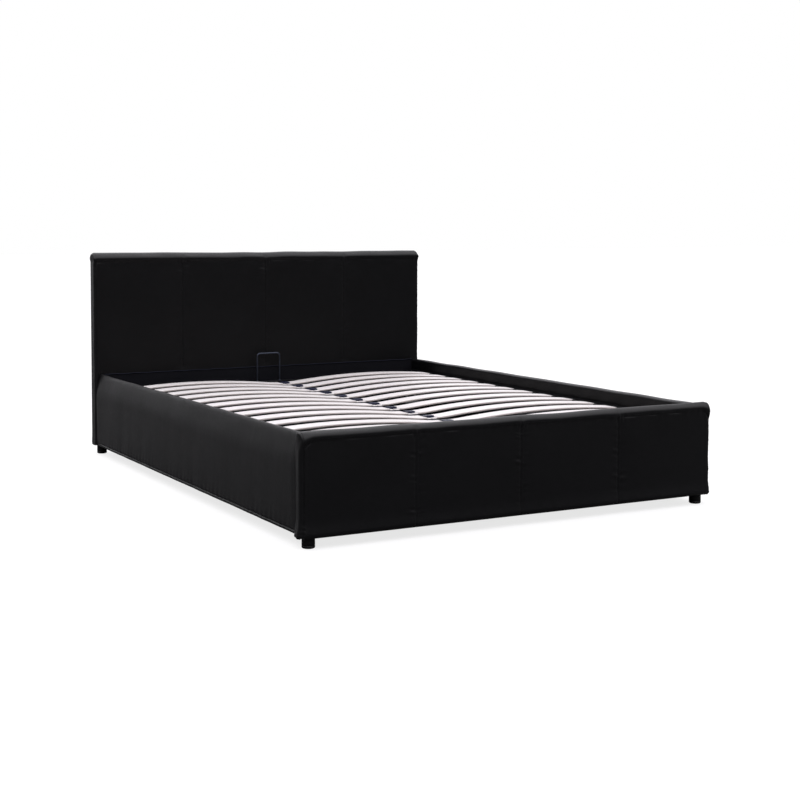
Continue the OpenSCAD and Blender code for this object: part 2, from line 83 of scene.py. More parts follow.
class CoverSettings(PropertyGroup):
    crown: FloatProperty(
        name="Panel crown",
        description="How far a sewn panel swells between its seams",
        default=0.0035, min=0.0, max=0.02, unit="LENGTH")
    seam_depth: FloatProperty(
        name="Seam depth",
        description="How deep a seam pulls into the padding",
        default=0.0045, min=0.0, max=0.015, unit="LENGTH")
    pucker: FloatProperty(
        name="Pucker height",
        description="Height of the small gathers beside a seam",
        default=0.0011, min=0.0, max=0.005, unit="LENGTH")
    stitch: FloatProperty(
        name="Stitch length",
        description="Distance from one stitch to the next",
        default=0.0075, min=0.003, max=0.02, unit="LENGTH")
    colour: FloatVectorProperty(
        name="Cover colour",
        description="Colour of the leather-look cover",
        default=(0.0024, 0.0024, 0.0028), size=3, min=0.0, max=1.0, subtype="COLOR")
    lining_colour: FloatVectorProperty(
        name="Lining colour",
        description="Colour of the lining low on the headboard and footboard",
        default=(0.0015, 0.0017, 0.0036), size=3, min=0.0, max=1.0, subtype="COLOR")


class SlatSettings(PropertyGroup):
    rounding: FloatProperty(
        name="Edge rounding",
        description="Radius of the long edges of a slat",
        default=0.003, min=0.0005, max=0.0039, unit="LENGTH")
    colour: FloatVectorProperty(
        name="Slat colour",
        description="Colour of the foil on the slats",
        default=(0.64, 0.61, 0.605), size=3, min=0.0, max=1.0, subtype="COLOR")
    # edge colour: the bare plies' tint, raised paler than the foil as painted light for the lit
    # front edges of the slats
    edge_colour_with_painted_light: FloatVectorProperty(
        name="Slat edge colour",
        description="Colour of the bare plies along the edge of a slat",
        default=(0.82, 0.74, 0.71), size=3, min=0.0, max=1.0, subtype="COLOR")
    holder_colour: FloatVectorProperty(
        name="Holder colour",
        description="Colour of the centre slat holders",
        default=(0.0040, 0.0062, 0.0230), size=3, min=0.0, max=1.0, subtype="COLOR")


class StageSettings(PropertyGroup):
    floor_colour: FloatVectorProperty(
        name="Floor colour",
        description="Colour of the plain floor",
        default=(0.90, 0.90, 0.90), size=3, min=0.0, max=1.0, subtype="COLOR")
    floor_glow: FloatProperty(
        name="Floor glow",
        description="Light given off by the floor, as on a lit studio table",
        default=0.86, min=0.0, max=3.0)
    sky_light: FloatProperty(
        name="Ceiling light",
        description="Strength of the soft light from overhead",
        default=1.45, min=0.0, max=10.0)
    back_light: FloatProperty(
        name="Back light",
        description="Strength of the soft light from behind and above the headboard",
        default=1.6, min=0.0, max=10.0)
    front_light: FloatProperty(
        name="Front light",
        description="Strength of the soft light from above the footboard",
        default=1.1, min=0.0, max=10.0)
    room_light: FloatProperty(
        name="Room light",
        description="Strength of the soft light from the walls",
        default=0.012, min=0.0, max=3.0)
    lamp_power: FloatProperty(
        name="Lamp power",
        description="Power of the softbox high on the left",
        default=40.0, min=0.0, max=2000.0, unit="POWER")


def settings():
    """The scene's three groups of sizes and colours."""
    s = bpy.context.scene
    return s.bed_cover, s.bed_slats, s.bed_stage


# ---------------------------------------------------------------- shader writing


class Wire:
    """A value on a socket. Arithmetic on it adds Math nodes."""

    def __init__(self, shader, socket):
        self.shader, self.socket = shader, socket

    def _math(self, operation, *values):
        return self.shader.node("ShaderNodeMath", {"operation": operation}, *values)

    def __add__(self, other): return self._math("ADD", self, other)
    def __radd__(self, other): return self._math("ADD", other, self)
    def __sub__(self, other): return self._math("SUBTRACT", self, other)
    def __rsub__(self, other): return self._math("SUBTRACT", other, self)
    def __mul__(self, other): return self._math("MULTIPLY", self, other)
    def __rmul__(self, other): return self._math("MULTIPLY", other, self)
    def __abs__(self): return self._math("ABSOLUTE", self)
    def sine(self): return self._math("SINE", self)
    def fraction(self): return self._math("FRACT", self)

    def clipped(self):
        """The value held between 0 and 1."""
        return self.shader.node("ShaderNodeClamp", {}, self)

    def between(self, low, high):
        """0 at low and 1 at high, eased."""
        return self.shader.node("ShaderNodeMapRange", {"interpolation_type": "SMOOTHSTEP"},
                                self, low, high, 0.0, 1.0)


class Shader:
    """One material and the calls that add nodes to it."""

    def __init__(self, name, block=None):
        self.material = block or bpy.data.materials.new(name)
        self.material.use_nodes = True
        self.tree = self.material.node_tree
        self.surface = next((n for n in self.tree.nodes if n.type == "BSDF_PRINCIPLED"), None)

    def node(self, kind, choices, *values, output=0, **named):
        """Adds a node of that kind, sets its choices first, then fills or links its inputs."""
        made = self.tree.nodes.new(kind)
        for key, value in choices.items():
            setattr(made, key, value)
        for key, value in list(enumerate(values)) + list(named.items()):
            key = key.replace("_", " ") if isinstance(key, str) else key
            self.join(made.inputs[key], value)
        return Wire(self, made.outputs[output] if len(made.outputs) else None)

    def join(self, socket, value):
        """Links a wire to a socket, or sets a number, a colour or a vector on it."""
        if isinstance(value, Wire):
            self.tree.links.new(value.socket, socket)
        elif value is not None:
            if isinstance(value, (tuple, list)) and len(value) == 3 and socket.type == "RGBA":
                value = (*value, 1.0)
            socket.default_value = value

    def place(self):
        """The point on the piece, in metres."""
        return self.node("ShaderNodeTexCoord", {}, output="Object")

    def axes(self, point):
        """The three numbers of a point."""
        made = self.tree.nodes.new("ShaderNodeSeparateXYZ")
        self.join(made.inputs[0], point)
        return [Wire(self, s) for s in made.outputs]

    def noise(self, point, scale, detail=2.0, rough=0.5, stretch=None):
        """Cloudy noise, drawn out along an axis whose stretch is below one."""
        if stretch:
            point = self.node("ShaderNodeMapping", {}, point, Scale=stretch)
        return self.node("ShaderNodeTexNoise", {}, Vector=point, Scale=scale, Detail=detail,
                         Roughness=rough)

    def cells(self, point, scale, feature="F1"):
        """Distance to the middle or the edge of a cell, in a pattern of scattered cells."""
        return self.node("ShaderNodeTexVoronoi", {"feature": feature}, Vector=point, Scale=scale)

    def tint(self, low, high, share):
        """A colour between two colours."""
        made = self.tree.nodes.new("ShaderNodeMix")
        made.data_type = "RGBA"
        self.join(made.inputs["Factor"], share)
        self.join(made.inputs[6], low)
        self.join(made.inputs[7], high)
        return Wire(self, made.outputs[2])

    def bump(self, height, distance, strength=1.0, under=None):
        """A normal tilted by the slope of a height, over another normal if one is given."""
        return self.node("ShaderNodeBump", {}, Strength=strength, Distance=distance,
                         Height=height, Normal=under)

    def finish(self, colour=None, roughness=None, normal=None, **fixed):
        """Links what changes over the surface and sets what doesn't."""
        self.join(self.surface.inputs["Base Color"], colour)
        self.join(self.surface.inputs["Roughness"], roughness)
        self.join(self.surface.inputs["Normal"], normal)
        for key, value in fixed.items():
            self.join(self.surface.inputs[key.replace("_", " ")], value)
        return self.material


MATERIALS = {}


def finish_of(name):
    """The finished material of that name, made the first time that it is asked for."""
    if name not in MATERIALS:
        MATERIALS[name] = FINISHES[name]()
    return MATERIALS[name]


def cover_finish():
    """Leather-look cover: fine pebbled grain, soft creases and a clouded sheen."""
    cover = settings()[0]
    s = Shader("cover_leather")
    p = s.place()
    cloud = s.noise(p, 5.5, 4.0, 0.55)
    mottle = s.noise(p, 55.0, 3.0, 0.6)
    grain = s.cells(p, 780.0, "DISTANCE_TO_EDGE").between(0.0, 0.32)
    pores = s.noise(p, 1900.0, 2.0)
    crease = s.noise(p, 16.0, 5.0, 0.62, (1.0, 1.0, 0.45))
    dark = tuple(cover.colour)
    light = tuple(c * 2.1 for c in dark)
    colour = s.tint(dark, light, (cloud * 0.65 + mottle * 0.55 - 0.22).clipped())
    rough = 0.34 + cloud * 0.10 + mottle * 0.10 - grain * 0.06
    normal = s.bump(crease, 0.0022, 0.35)
    normal = s.bump(grain + pores * 0.35, 0.00016, 0.55, normal)
    return s.finish(colour, rough, normal, Specular_IOR_Level=0.22)


def thread_finish():
    """Twisted sewing thread, a little lighter than the cover."""
    s = Shader("thread")
    x, y, z = s.axes(s.place())
    twist = ((x + y + z) * 5200.0).sine() * 0.5 + 0.5
    colour = s.tint((0.004, 0.004, 0.005), (0.016, 0.016, 0.018), twist)
    return s.finish(colour, 0.55 + twist * 0.15, s.bump(twist, 0.0002, 0.6),
                    Specular_IOR_Level=0.12)


def lining_finish():
    """Tightly woven dark lining."""
    cover = settings()[0]
    s = Shader("lining")
    p = s.place()
    x, y, z = s.axes(p)
    warp = (x * 4200.0).sine() * 0.5 + 0.5
    weft = (z * 4200.0).sine() * 0.5 + 0.5
    weave = warp * weft
    cloud = s.noise(p, 7.0, 3.0)
    base = tuple(cover.lining_colour)
    colour = s.tint(base, tuple(c * 1.9 for c in base), (cloud * 0.7 + weave * 0.3).clipped())
    return s.finish(colour, 0.62 + cloud * 0.12, s.bump(weave, 0.00025, 0.5),
                    Specular_IOR_Level=0.20)


def binding_finish():
    """Folded tape along the top of the lining."""
    s = Shader("binding_tape")
    x, y, z = s.axes(s.place())
    rib = (x * 3600.0).sine() * 0.5 + 0.5
    colour = s.tint((0.007, 0.008, 0.014), (0.016, 0.018, 0.030), rib)
    return s.finish(colour, 0.5 + rib * 0.15, s.bump(rib, 0.0002, 0.5),
                    Specular_IOR_Level=0.12)


def spun_cloth_finish():
    """Thin bonded cloth with a dimpled surface."""
    s = Shader("spun_cloth")
    p = s.place()
    dots = s.cells(p, 420.0)
    fibre = s.noise(p, 260.0, 5.0, 0.7)
    colour = s.tint((0.012, 0.012, 0.013), (0.040, 0.040, 0.043),
                    (fibre * 0.8 + dots * 0.4 - 0.2).clipped())
    return s.finish(colour, 0.88 + fibre * 0.08, s.bump(dots + fibre * 0.5, 0.0004, 0.6))


def webbing_finish():
    """Woven strap with a chevron weave."""
    s = Shader("webbing")
    x, y, z = s.axes(s.place())
    chevron = (x * 2600.0 + abs((y * 160.0).sine()) * 3.0).sine() * 0.5 + 0.5
    colour = s.tint((0.012, 0.012, 0.014), (0.060, 0.060, 0.066), chevron)
    return s.finish(colour, 0.72 + chevron * 0.1, s.bump(chevron, 0.0005, 0.8))


def slat_finish():
    """White foil on the faces of a slat, with the plies showing along its edges. The edge colour
    is paler than the foil: the plies' own tint plus painted light for the lit front edges.
    """
    slats = settings()[1]
    s = Shader("slat_foil")
    p = s.place()
    face = s.node("ShaderNodeAttribute", {"attribute_name": "face"}, output="Fac")
    layer = s.node("ShaderNodeAttribute", {"attribute_name": "layer"}, output="Fac")
    streak = s.noise(p, 60.0, 4.0, 0.6, (0.10, 1.0, 1.0))
    speck = s.noise(p, 900.0, 2.0)
    plies = (layer * 6.0).fraction().between(0.25, 0.75)
    white = tuple(slats.colour)
    edge = tuple(slats.edge_colour_with_painted_light)
    foil = s.tint(tuple(c * 0.90 for c in white), white, (streak * 1.4 - 0.2).clipped())
    # ply edges: their own tint and stripes, made paler than the foil as painted light
    bare = s.tint(tuple(c * 0.70 for c in edge), edge, plies)
    colour = s.tint(bare, foil, face.between(0.10, 0.45))
    rough = 0.44 + streak * 0.10 + (1.0 - face) * 0.25
    height = streak * 0.6 + speck * 0.2 + plies * (1.0 - face)
    return s.finish(colour, rough, s.bump(height, 0.0003, 0.35))


def moulded(name, dark, light, rough, grain=900.0):
    """Moulded plastic with a fine spark-eroded grain and paler rubbed places."""
    s = Shader(name)
    p = s.place()
    cloud = s.noise(p, 24.0, 3.0)
    fine = s.noise(p, grain, 3.0, 0.6)
    colour = s.tint(dark, light, (cloud * 0.8 + fine * 0.4 - 0.25).clipped())
    return s.finish(colour, rough + fine * 0.12 + cloud * 0.06, s.bump(fine, 0.00018, 0.5),
                    Specular_IOR_Level=0.30)


def black_plastic_finish():
    return moulded("black_plastic", (0.0018, 0.0018, 0.0021), (0.0048, 0.0048, 0.0054), 0.42)


def navy_plastic_finish():
    navy = tuple(settings()[1].holder_colour)
    return moulded("navy_plastic", navy, tuple(c * 1.9 for c in navy), 0.34)


def powder_finish():
    """Black powder coat with an orange-peel surface and thin wear."""
    s = Shader("black_powder_coat")
    p = s.place()
    peel = s.noise(p, 420.0, 3.0, 0.55)
    cloud = s.noise(p, 9.0, 4.0)
    colour = s.tint((0.0030, 0.0030, 0.0034), (0.0080, 0.0080, 0.0090),
                    (cloud * 0.9 + peel * 0.3 - 0.2).clipped())
    return s.finish(colour, 0.42 + peel * 0.16 + cloud * 0.08, s.bump(peel, 0.0003, 0.5),
                    Specular_IOR_Level=0.25)


def zinc_finish():
    """Zinc plating: bright, lightly brushed, with a faint bloom."""
    s = Shader("zinc_plate")
    p = s.place()
    bloom = s.noise(p, 40.0, 4.0)
    brush = s.noise(p, 1400.0, 2.0, 0.5, (1.0, 0.2, 1.0))
    colour = s.tint((0.46, 0.47, 0.49), (0.70, 0.71, 0.72),
                    (bloom * 0.7 + brush * 0.4).clipped())
    return s.finish(colour, 0.26 + bloom * 0.16 + brush * 0.1, s.bump(brush, 0.0001, 0.4),
                    Metallic=1.0)


def rod_finish():
    """Dark blued rod of the mattress retainer."""
    s = Shader("blued_steel")
    p = s.place()
    bloom = s.noise(p, 60.0, 4.0)
    scratch = s.noise(p, 700.0, 2.0, 0.5, (1.0, 1.0, 0.08))
    colour = s.tint((0.035, 0.042, 0.060), (0.085, 0.098, 0.130), bloom)
    return s.finish(colour, 0.28 + scratch * 0.14, s.bump(scratch, 0.00012, 0.4), Metallic=0.85)


def timber_finish():
    """Planed softwood frame timber, grain along its length in X."""
    s = Shader("frame_timber")
    p = s.place()
    rings = s.noise(p, 26.0, 5.0, 0.6, (0.06, 1.0, 1.0))
    fibre = s.noise(p, 300.0, 3.0, 0.6, (0.05, 1.0, 1.0))
    lines = ((rings * 60.0).sine() * 0.5 + 0.5) * 0.6 + fibre * 0.4
    colour = s.tint((0.40, 0.25, 0.12), (0.68, 0.50, 0.30), lines)
    return s.finish(colour, 0.62 + lines * 0.15, s.bump(lines, 0.0006, 0.4))


def dark_board_finish():
    """Black foil-faced board with a faint pressed grain along Y."""
    s = Shader("dark_board")
    p = s.place()
    grain = s.noise(p, 120.0, 4.0, 0.6, (1.0, 0.05, 1.0))
    cloud = s.noise(p, 6.0, 3.0)
    colour = s.tint((0.0030, 0.0034, 0.0050), (0.0075, 0.0082, 0.0110),
                    (grain * 0.6 + cloud * 0.4).clipped())
    return s.finish(colour, 0.50 + grain * 0.18, s.bump(grain, 0.0003, 0.4),
                    Specular_IOR_Level=0.35)


def painted_shade_board_finish():
    """Pressed fibre board with flecks, its brown kept very dark as painted shade for the closed
    storage space seen between the slats.
    """
    s = Shader("hardboard")
    p = s.place()
    fleck = s.noise(p, 240.0, 5.0, 0.7)
    cloud = s.noise(p, 5.0, 3.0)
    # the board's brown and flecks, darkened well below the board's own tone as painted shade
    colour = s.tint((0.030, 0.022, 0.016), (0.085, 0.062, 0.044),
                    (fleck * 0.8 + cloud * 0.3 - 0.1).clipped())
    return s.finish(colour, 0.66 + fleck * 0.15, s.bump(fleck, 0.0003, 0.5))


def floor_finish():
    """Plain pale floor with the faintest unevenness. It glows towards the eye only, and to
    all other light it is a dim plain surface, so that it throws little light up at the covers."""
    stage = settings()[2]
    s = Shader("plain_floor")
    cloud = s.noise(s.place(), 1.4, 2.0)
    base = tuple(stage.floor_colour)
    colour = s.tint(tuple(c * 0.26 for c in base), tuple(c * 0.28 for c in base), cloud)
    s.finish(colour, 0.85, Specular_IOR_Level=0.05, Emission_Color=(*base, 1.0),
             Emission_Strength=stage.floor_glow)
    bounce = 0.14
    dim = s.node("ShaderNodeBsdfDiffuse", {}, Color=tuple(c * bounce for c in base))
    seen = s.node("ShaderNodeLightPath", {}, output="Is Camera Ray")
    both = s.node("ShaderNodeMixShader", {}, seen, dim, Wire(s, s.surface.outputs[0]))
    s.join(next(n for n in s.tree.nodes if n.type == "OUTPUT_MATERIAL").inputs["Surface"], both)
    return s.material


FINISHES = {
    "cover": cover_finish,
    "thread": thread_finish,
    "lining": lining_finish,
    "binding": binding_finish,
    "spun_cloth": spun_cloth_finish,
    "webbing": webbing_finish,
    "slat": slat_finish,
    "black_plastic": black_plastic_finish,
    "navy_plastic": navy_plastic_finish,
    "powder": powder_finish,
    "zinc": zinc_finish,
    "rod": rod_finish,
    "timber": timber_finish,
    "dark_board": dark_board_finish,
    "hardboard": painted_shade_board_finish,
    "floor": floor_finish,
}


def dress(finish, *nodes):
    """Gives frame nodes a finish."""
    for n in nodes:
        mesh = NODES[n].data
        mesh.materials.clear()
        mesh.materials.append(finish_of(finish))


# ---------------------------------------------------------------- mesh writing


def grid_faces(rows, cols, wrap_rows=False, wrap_cols=False):
    """Four-cornered faces of a grid of points, rows by cols, numbered row by row."""
    r = np.arange(rows if wrap_rows else rows - 1)
    c = np.arange(cols if wrap_cols else cols - 1)
    i, j = np.meshgrid(r, c, indexing="ij")
    i2, j2 = (i + 1) % rows, (j + 1) % cols
    quads = [i * cols + j, i * cols + j2, i2 * cols + j2, i2 * cols + j]
    return np.stack(quads, -1).reshape(-1, 4)


def weld(points, faces, step=2e-6):
    """Points that fall together become one, and faces that lose their area go."""
    keys = np.round(points / step).astype(np.int64)
    _, first, back = np.unique(keys, axis=0, return_index=True, return_inverse=True)
    faces = back.reshape(-1)[faces]
    ordered = np.sort(faces, axis=1)
    distinct = 1 + (np.diff(ordered, axis=1) != 0).sum(axis=1)
    return points[first], faces[distinct >= 3], first


def point_normals(points, faces):
    """The mean direction of the faces round each point, by area."""
    a = points[faces[:, 2]] - points[faces[:, 0]]
    b = points[faces[:, 3]] - points[faces[:, 1]]
    n = np.cross(a, b)
    out = np.zeros_like(points)
    for k in range(4):
        np.add.at(out, faces[:, k], n)
    size = np.linalg.norm(out, axis=1, keepdims=True)
    return out / np.maximum(size, 1e-12)


def outward(points, faces):
    """Faces turned so that the shell's volume is positive."""
    a, b, c, d = (points[faces[:, k]] for k in range(4))
    volume = np.einsum("ij,ij->", a, np.cross(b, c) + np.cross(c, d))
    return faces if volume > 0 else faces[:, ::-1]


def closed(grid):
    """A closed shell from a grid of rings: points, faces and the kept places. Each end ring
    closes on its own middle, and the places count from the row that is added in front."""
    sides = grid.shape[1]
    ends = [np.tile(ring.mean(0), (sides, 1))[None] for ring in (grid[0], grid[-1])]
    rows = np.concatenate([ends[0], grid, ends[1]])
    quads = grid_faces(len(rows), sides, wrap_cols=True)
    points, faces, kept = weld(rows.reshape(-1, 3), quads)
    return points, outward(points, faces), kept


def turned(x, y, radii, heights, sides):
    """A turned piece about an upright axis at x, y: a profile of radii and heights, from the
    axis at its foot to the axis at its top, carried round in a circle."""
    a = np.linspace(0, 2 * math.pi, sides, endpoint=False)
    grid = np.stack([x + radii[:, None] * np.cos(a), y + radii[:, None] * np.sin(a),
                     heights[:, None] + 0 * a], -1)
    points, faces, _ = weld(grid.reshape(-1, 3), grid_faces(len(radii), sides, wrap_cols=True))
    return points, outward(points, faces), {}


def bars(rods):
    """Many closed rods from an array of rods, rings and sides. Two fans of two faces, over
    five or six sides, close each rod's ends."""
    count, rings, sides = rods.shape[:3]
    fan = np.array([[0, 1, 2, 3], [0, 3, 4, sides - 1]])
    one = np.concatenate([grid_faces(rings, sides, wrap_cols=True), fan[:, ::-1],
                          fan + (rings - 1) * sides])
    faces = (one[None] + (np.arange(count) * rings * sides)[:, None, None]).reshape(-1, 4)
    points = rods.reshape(-1, 3)
    return points, outward(points, faces)


def piece(name, points, faces, finish, smooth=True, attributes=None):
    """A mesh object from arrays. A face that names a point twice becomes a triangle."""
    keep = faces != np.roll(faces, 1, axis=1)
    counts = keep.sum(axis=1)
    starts = np.concatenate([[0], np.cumsum(counts)[:-1]])
    mesh = bpy.data.meshes.new(name)
    mesh.vertices.add(len(points))
    mesh.vertices.foreach_set("co", np.ascontiguousarray(points, np.float32).ravel())
    mesh.loops.add(int(counts.sum()))
    mesh.loops.foreach_set("vertex_index", faces[keep].astype(np.int32))
    mesh.polygons.add(len(faces))
    mesh.polygons.foreach_set("loop_start", starts.astype(np.int32))
    mesh.polygons.foreach_set("use_smooth", np.full(len(faces), smooth))
    for key, values in (attributes or {}).items():
        data = mesh.attributes.new(key, "FLOAT", "POINT").data
        data.foreach_set("value", values.astype(np.float32))
    mesh.update(calc_edges=True)
    mesh.validate()
    mesh.materials.append(finish_of(finish))
    made = bpy.data.objects.new(name, mesh)
    bpy.context.scene.collection.objects.link(made)
    return made


def gather(shells):
    """Several (points, faces, attributes) shells as one."""
    points, faces, attributes, count = [], [], {}, 0
    for p, f, extra in shells:
        points.append(p)
        faces.append(f + count)
        count += len(p)
        for key, values in extra.items():
            attributes.setdefault(key, []).append(values)
    return (np.concatenate(points), np.concatenate(faces),
            {k: np.concatenate(v) for k, v in attributes.items()})


def spread(low, high, count, centres=(), width=0.02, gain=6.0):
    """Numbers from low to high that crowd round the given centres.
    The crowding at x is 1 plus gain times a bell of that width round each centre."""
    x = np.linspace(low, high, 4001)
    crowd = 1.0 + gain * sum((bell(x - c, width) for c in centres), np.zeros_like(x))
    total = np.concatenate([[0.0], np.cumsum((crowd[1:] + crowd[:-1]) / 2)])
    return np.interp(np.linspace(0, total[-1], count), total, x)


def ripple(s, wave, seed):
    """Uneven wave of about that wavelength: five sines whose lengths and phases are drawn once."""
    draw = np.random.default_rng(seed)
    lengths = wave * draw.uniform(0.62, 1.75, 5)
    phases = draw.uniform(0, 2 * math.pi, 5)
    return sum(np.sin(2 * math.pi * s / l + p) for l, p in zip(lengths, phases)) / 2.6


def swell(x, z, wave, seed):
    """Uneven soft hills in a plane: a product of ripples along two slanted directions."""
    return 0.5 * (ripple(x + 0.35 * z, wave, seed) + ripple(z - 0.25 * x, wave * 0.8, seed + 1))


def ease(t):
    """0 below 0 and 1 above 1, smooth between: 3 t squared minus 2 t cubed."""
    t = np.clip(t, 0, 1)
    return t * t * (3 - 2 * t)


def bell(d, width):
    """1 at d = 0, falling as the exponential of minus d over width, squared."""
    return np.exp(-(d / width) ** 2)


# ---------------------------------------------------------------- end boards


class EndBoard:
    """Shell of a padded board. Its upright section is a slab with a half-round top of radius h,
    half the board's thickness. The section is repeated along X. Towards each end it is scaled to
    its mid line by 1 - e / h, where the inset e follows a quarter circle of the corner radius,
    and the end cap carries e on from that radius to h, where the section closes to a line."""

    def __init__(self, low, high, corner, foot_radius, seams, front_rows, x_count):
        self.y0, self.y1 = float(low[1]), float(high[1])
        self.z0, self.top = float(low[2]), float(high[2])
        self.w = float(high[0])
        self.h = (self.y1 - self.y0) / 2
        self.yc = (self.y1 + self.y0) / 2
        self.roll_z = self.top - self.h
        self.r = corner
        self.seams = seams
        # stations along X: position, inset, and distance along the surface from the middle
        r, straight = self.r, self.w - self.r
        turn = np.linspace(0, math.pi / 2, 9)
        cap = np.linspace(self.h, r, 9)[:-1]
        ends = list(self.seams) + [-straight, straight]
        mid = spread(-straight, straight, x_count, ends, 0.022, 7.0)[1:-1]
        x_end = np.concatenate([np.full(8, self.w), straight + r * np.cos(turn)])
        e_end = np.concatenate([cap, r - r * np.sin(turn)])
        u_end = np.concatenate([straight + r * math.pi / 2 + (cap - r),
                                straight + r * (math.pi / 2 - turn)])
        x = np.concatenate([-x_end, mid, x_end[::-1]])
        e = np.concatenate([e_end, np.zeros_like(mid), e_end[::-1]])
        u = np.concatenate([-u_end, mid, u_end[::-1]])
        # section: y, z, and distance v up the front, over the roll and down the back
        b = foot_radius
        rise = spread(self.z0 + b, self.roll_z, front_rows, [self.roll_z, self.z0 + b],
                      0.03, 2.5)
        arc = np.linspace(math.pi, 0, 29)[1:-1]
        q = np.linspace(0, math.pi / 2, 6)
        y = np.concatenate([
            np.full_like(rise, self.y0), self.yc + self.h * np.cos(arc),
            np.full_like(rise, self.y1),
            self.y1 - b + b * np.cos(q)[1:], np.linspace(self.y1 - b, self.y0 + b, 7)[1:],
            self.y0 + b - b * np.sin(q)[1:-1]])
        z = np.concatenate([
            rise, self.roll_z + self.h * np.sin(arc), rise[::-1],
            self.z0 + b - b * np.sin(q)[1:], np.full(6, self.z0),
            self.z0 + b - b * np.cos(q)[1:-1]])
        n_under = len(y) - 2 * len(rise) - len(arc)
        over = self.roll_z + self.h * (math.pi - arc)
        v = np.concatenate([rise, over, self.roll_z * 2 + self.h * math.pi - rise[::-1],
                            np.full(n_under, self.z0)])
        k = 1 - e / self.h
        Y = self.yc + (y[None, :] - self.yc) * k[:, None]
        Z = np.where(z[None, :] > self.roll_z,
                     self.roll_z + (z[None, :] - self.roll_z) * k[:, None],
                     z[None, :] + 0 * k[:, None])
        X = x[:, None] + 0 * Y
        grid = np.stack([X, Y, Z], -1)
        faces = grid_faces(len(x), len(y), wrap_cols=True)
        U = (u[:, None] + 0 * Y).ravel()
        V = (v[None, :] + 0 * Y).ravel()
        self.points, faces, kept = weld(grid.reshape(-1, 3), faces)
        self.faces = outward(self.points, faces)
        self.normals = point_normals(self.points, self.faces)
        self.U, self.V = U[kept], V[kept]
        self.front = np.clip(-self.normals[:, 1], 0, 1)
        self.back = np.clip(self.normals[:, 1], 0, 1)
        self.side = straight + r * math.pi * 0.25

    def outline_distance(self, corner):
        """Signed distance along the surface from the border seam, negative inside the front panel.
        The seam runs up the front corners and along the foot of the roll, and its two top
        corners are round."""
        a = np.abs(self.U) - (self.side - corner)
        b = self.V - (self.roll_z - corner)
        return (np.hypot(np.maximum(a, 0), np.maximum(b, 0)) + np.minimum(np.maximum(a, b), 0)
                - corner)

    def sewn(self, cover, corner, seed, roll_bulge, belly, end_swell, crest_rise):
        """Depth of the sewn surface along its normal. A panel crowns by one minus the exponential
        of minus its distance from a seam. A seam sinks as a bell of that distance, steeper on
        the panel's side, and the border swells as a bell beside it. Gathers are a ripple along
        a seam times a bell across it."""
        p, x, z = self.points, self.points[:, 0], self.points[:, 2]
        d = self.outline_distance(corner)
        crown_reach, panel_pull = 0.070, 0.0034
        seam_at, seam_outside, seam_inside = 0.001, 0.0075, 0.0022
        bulge_at, bulge_width = 0.017, 0.0115
        gather_width, gather_wave = 0.015, 0.019
        on_front = ease((-self.normals[:, 1] - 0.25) / 0.5)
        inside = ease((seam_at - d) / 0.004) * on_front
        seam_d = np.full(len(p), 1.0)
        for s in self.seams:
            seam_d = np.minimum(seam_d, np.abs(x - s))
        near = np.minimum(np.maximum(-d, 0), seam_d)
        depth = inside * (cover.crown * (1 - np.exp(-near / crown_reach)) - panel_pull)
        # border seam, shallower where a panel seam runs into it
        tie = 1 - 0.55 * bell(seam_d, 0.012) * (self.V < self.roll_z + 0.03)
        facing = ease((0.75 - self.normals[:, 1]) / 0.5)
        wander = 0.8 + 0.2 * ripple(x + z, 0.11, seed + 6)
        along_top = ease((self.V - self.roll_z + 0.02) / 0.03)
        depth -= (cover.seam_depth * (1.7 - 0.7 * along_top) * tie * facing * wander
                  * bell(d - seam_at, np.where(d < seam_at, seam_inside, seam_outside)))
        upright = 0.65 + 0.35 * along_top
        depth += (roll_bulge * bell(d - bulge_at, bulge_width) * facing * tie * upright
                  * (0.8 + 0.2 * ripple(x + z, 0.17, seed + 5)))
        # gathers across the border seam
        along = np.where(np.abs(self.U) > self.w - self.r, z, x)
        depth += (cover.pucker * bell(d, gather_width) * ripple(along, gather_wave, seed)
                  * facing)
        # panel seams: a shallow dip, a narrow raised edge beside it, the dip of a topstitch row,
        # and gathers on both sides that fade at the border and at the foot
        row = np.full(len(p), 0.0)
        free = ease((-d - 0.004) / 0.030) * ease((z - self.z0 - 0.025) / 0.04)
        for k, s in enumerate(self.seams):
            t = x - s
            row -= 0.0016 * bell(t + 0.0045, 0.0050)
            row += 0.0010 * bell(t - 0.0005, 0.0020)
            row -= 0.0004 * bell(t - 0.0085, 0.0030)
            pull = (0.60 + 0.40 * ripple(z, 0.07, seed + 60 + k)) * free
            row += (cover.pucker * 1.9 * pull * bell(t + 0.015, 0.015)
                    * ripple(z + 0.15 * t, 0.018, seed + 20 + k))
            row += (cover.pucker * 1.4 * pull * bell(t - 0.016, 0.014)
                    * ripple(z - 0.15 * t, 0.022, seed + 30 + k))
        depth += row * inside * ease(-d / 0.010)
        # slack of the cover over its foam
        depth += 0.0009 * swell(x, z, 0.34, seed + 40) * inside
        on_roll = ease((z - self.roll_z) / 0.02)
        depth += (0.0010 * ripple(x, 0.31, seed + 50)
                  + crest_rise * ease((-x - 0.25) / 0.30)) * on_roll
        # the end panels swell between their seams, and the foot of the cover bellies out
        end = np.abs(self.normals[:, 0]) * (np.abs(x) > self.w - 0.001)
        depth += end_swell * end * np.clip(1 - ((p[:, 1] - self.yc) / self.h) ** 2, 0, 1)
        depth += belly * bell(z - self.z0, 0.030) * (z < self.z0 + 0.1) * (1 - self.back)
        return depth


STITCH_SHARE = 0.66      # of the distance between stitches that the thread shows


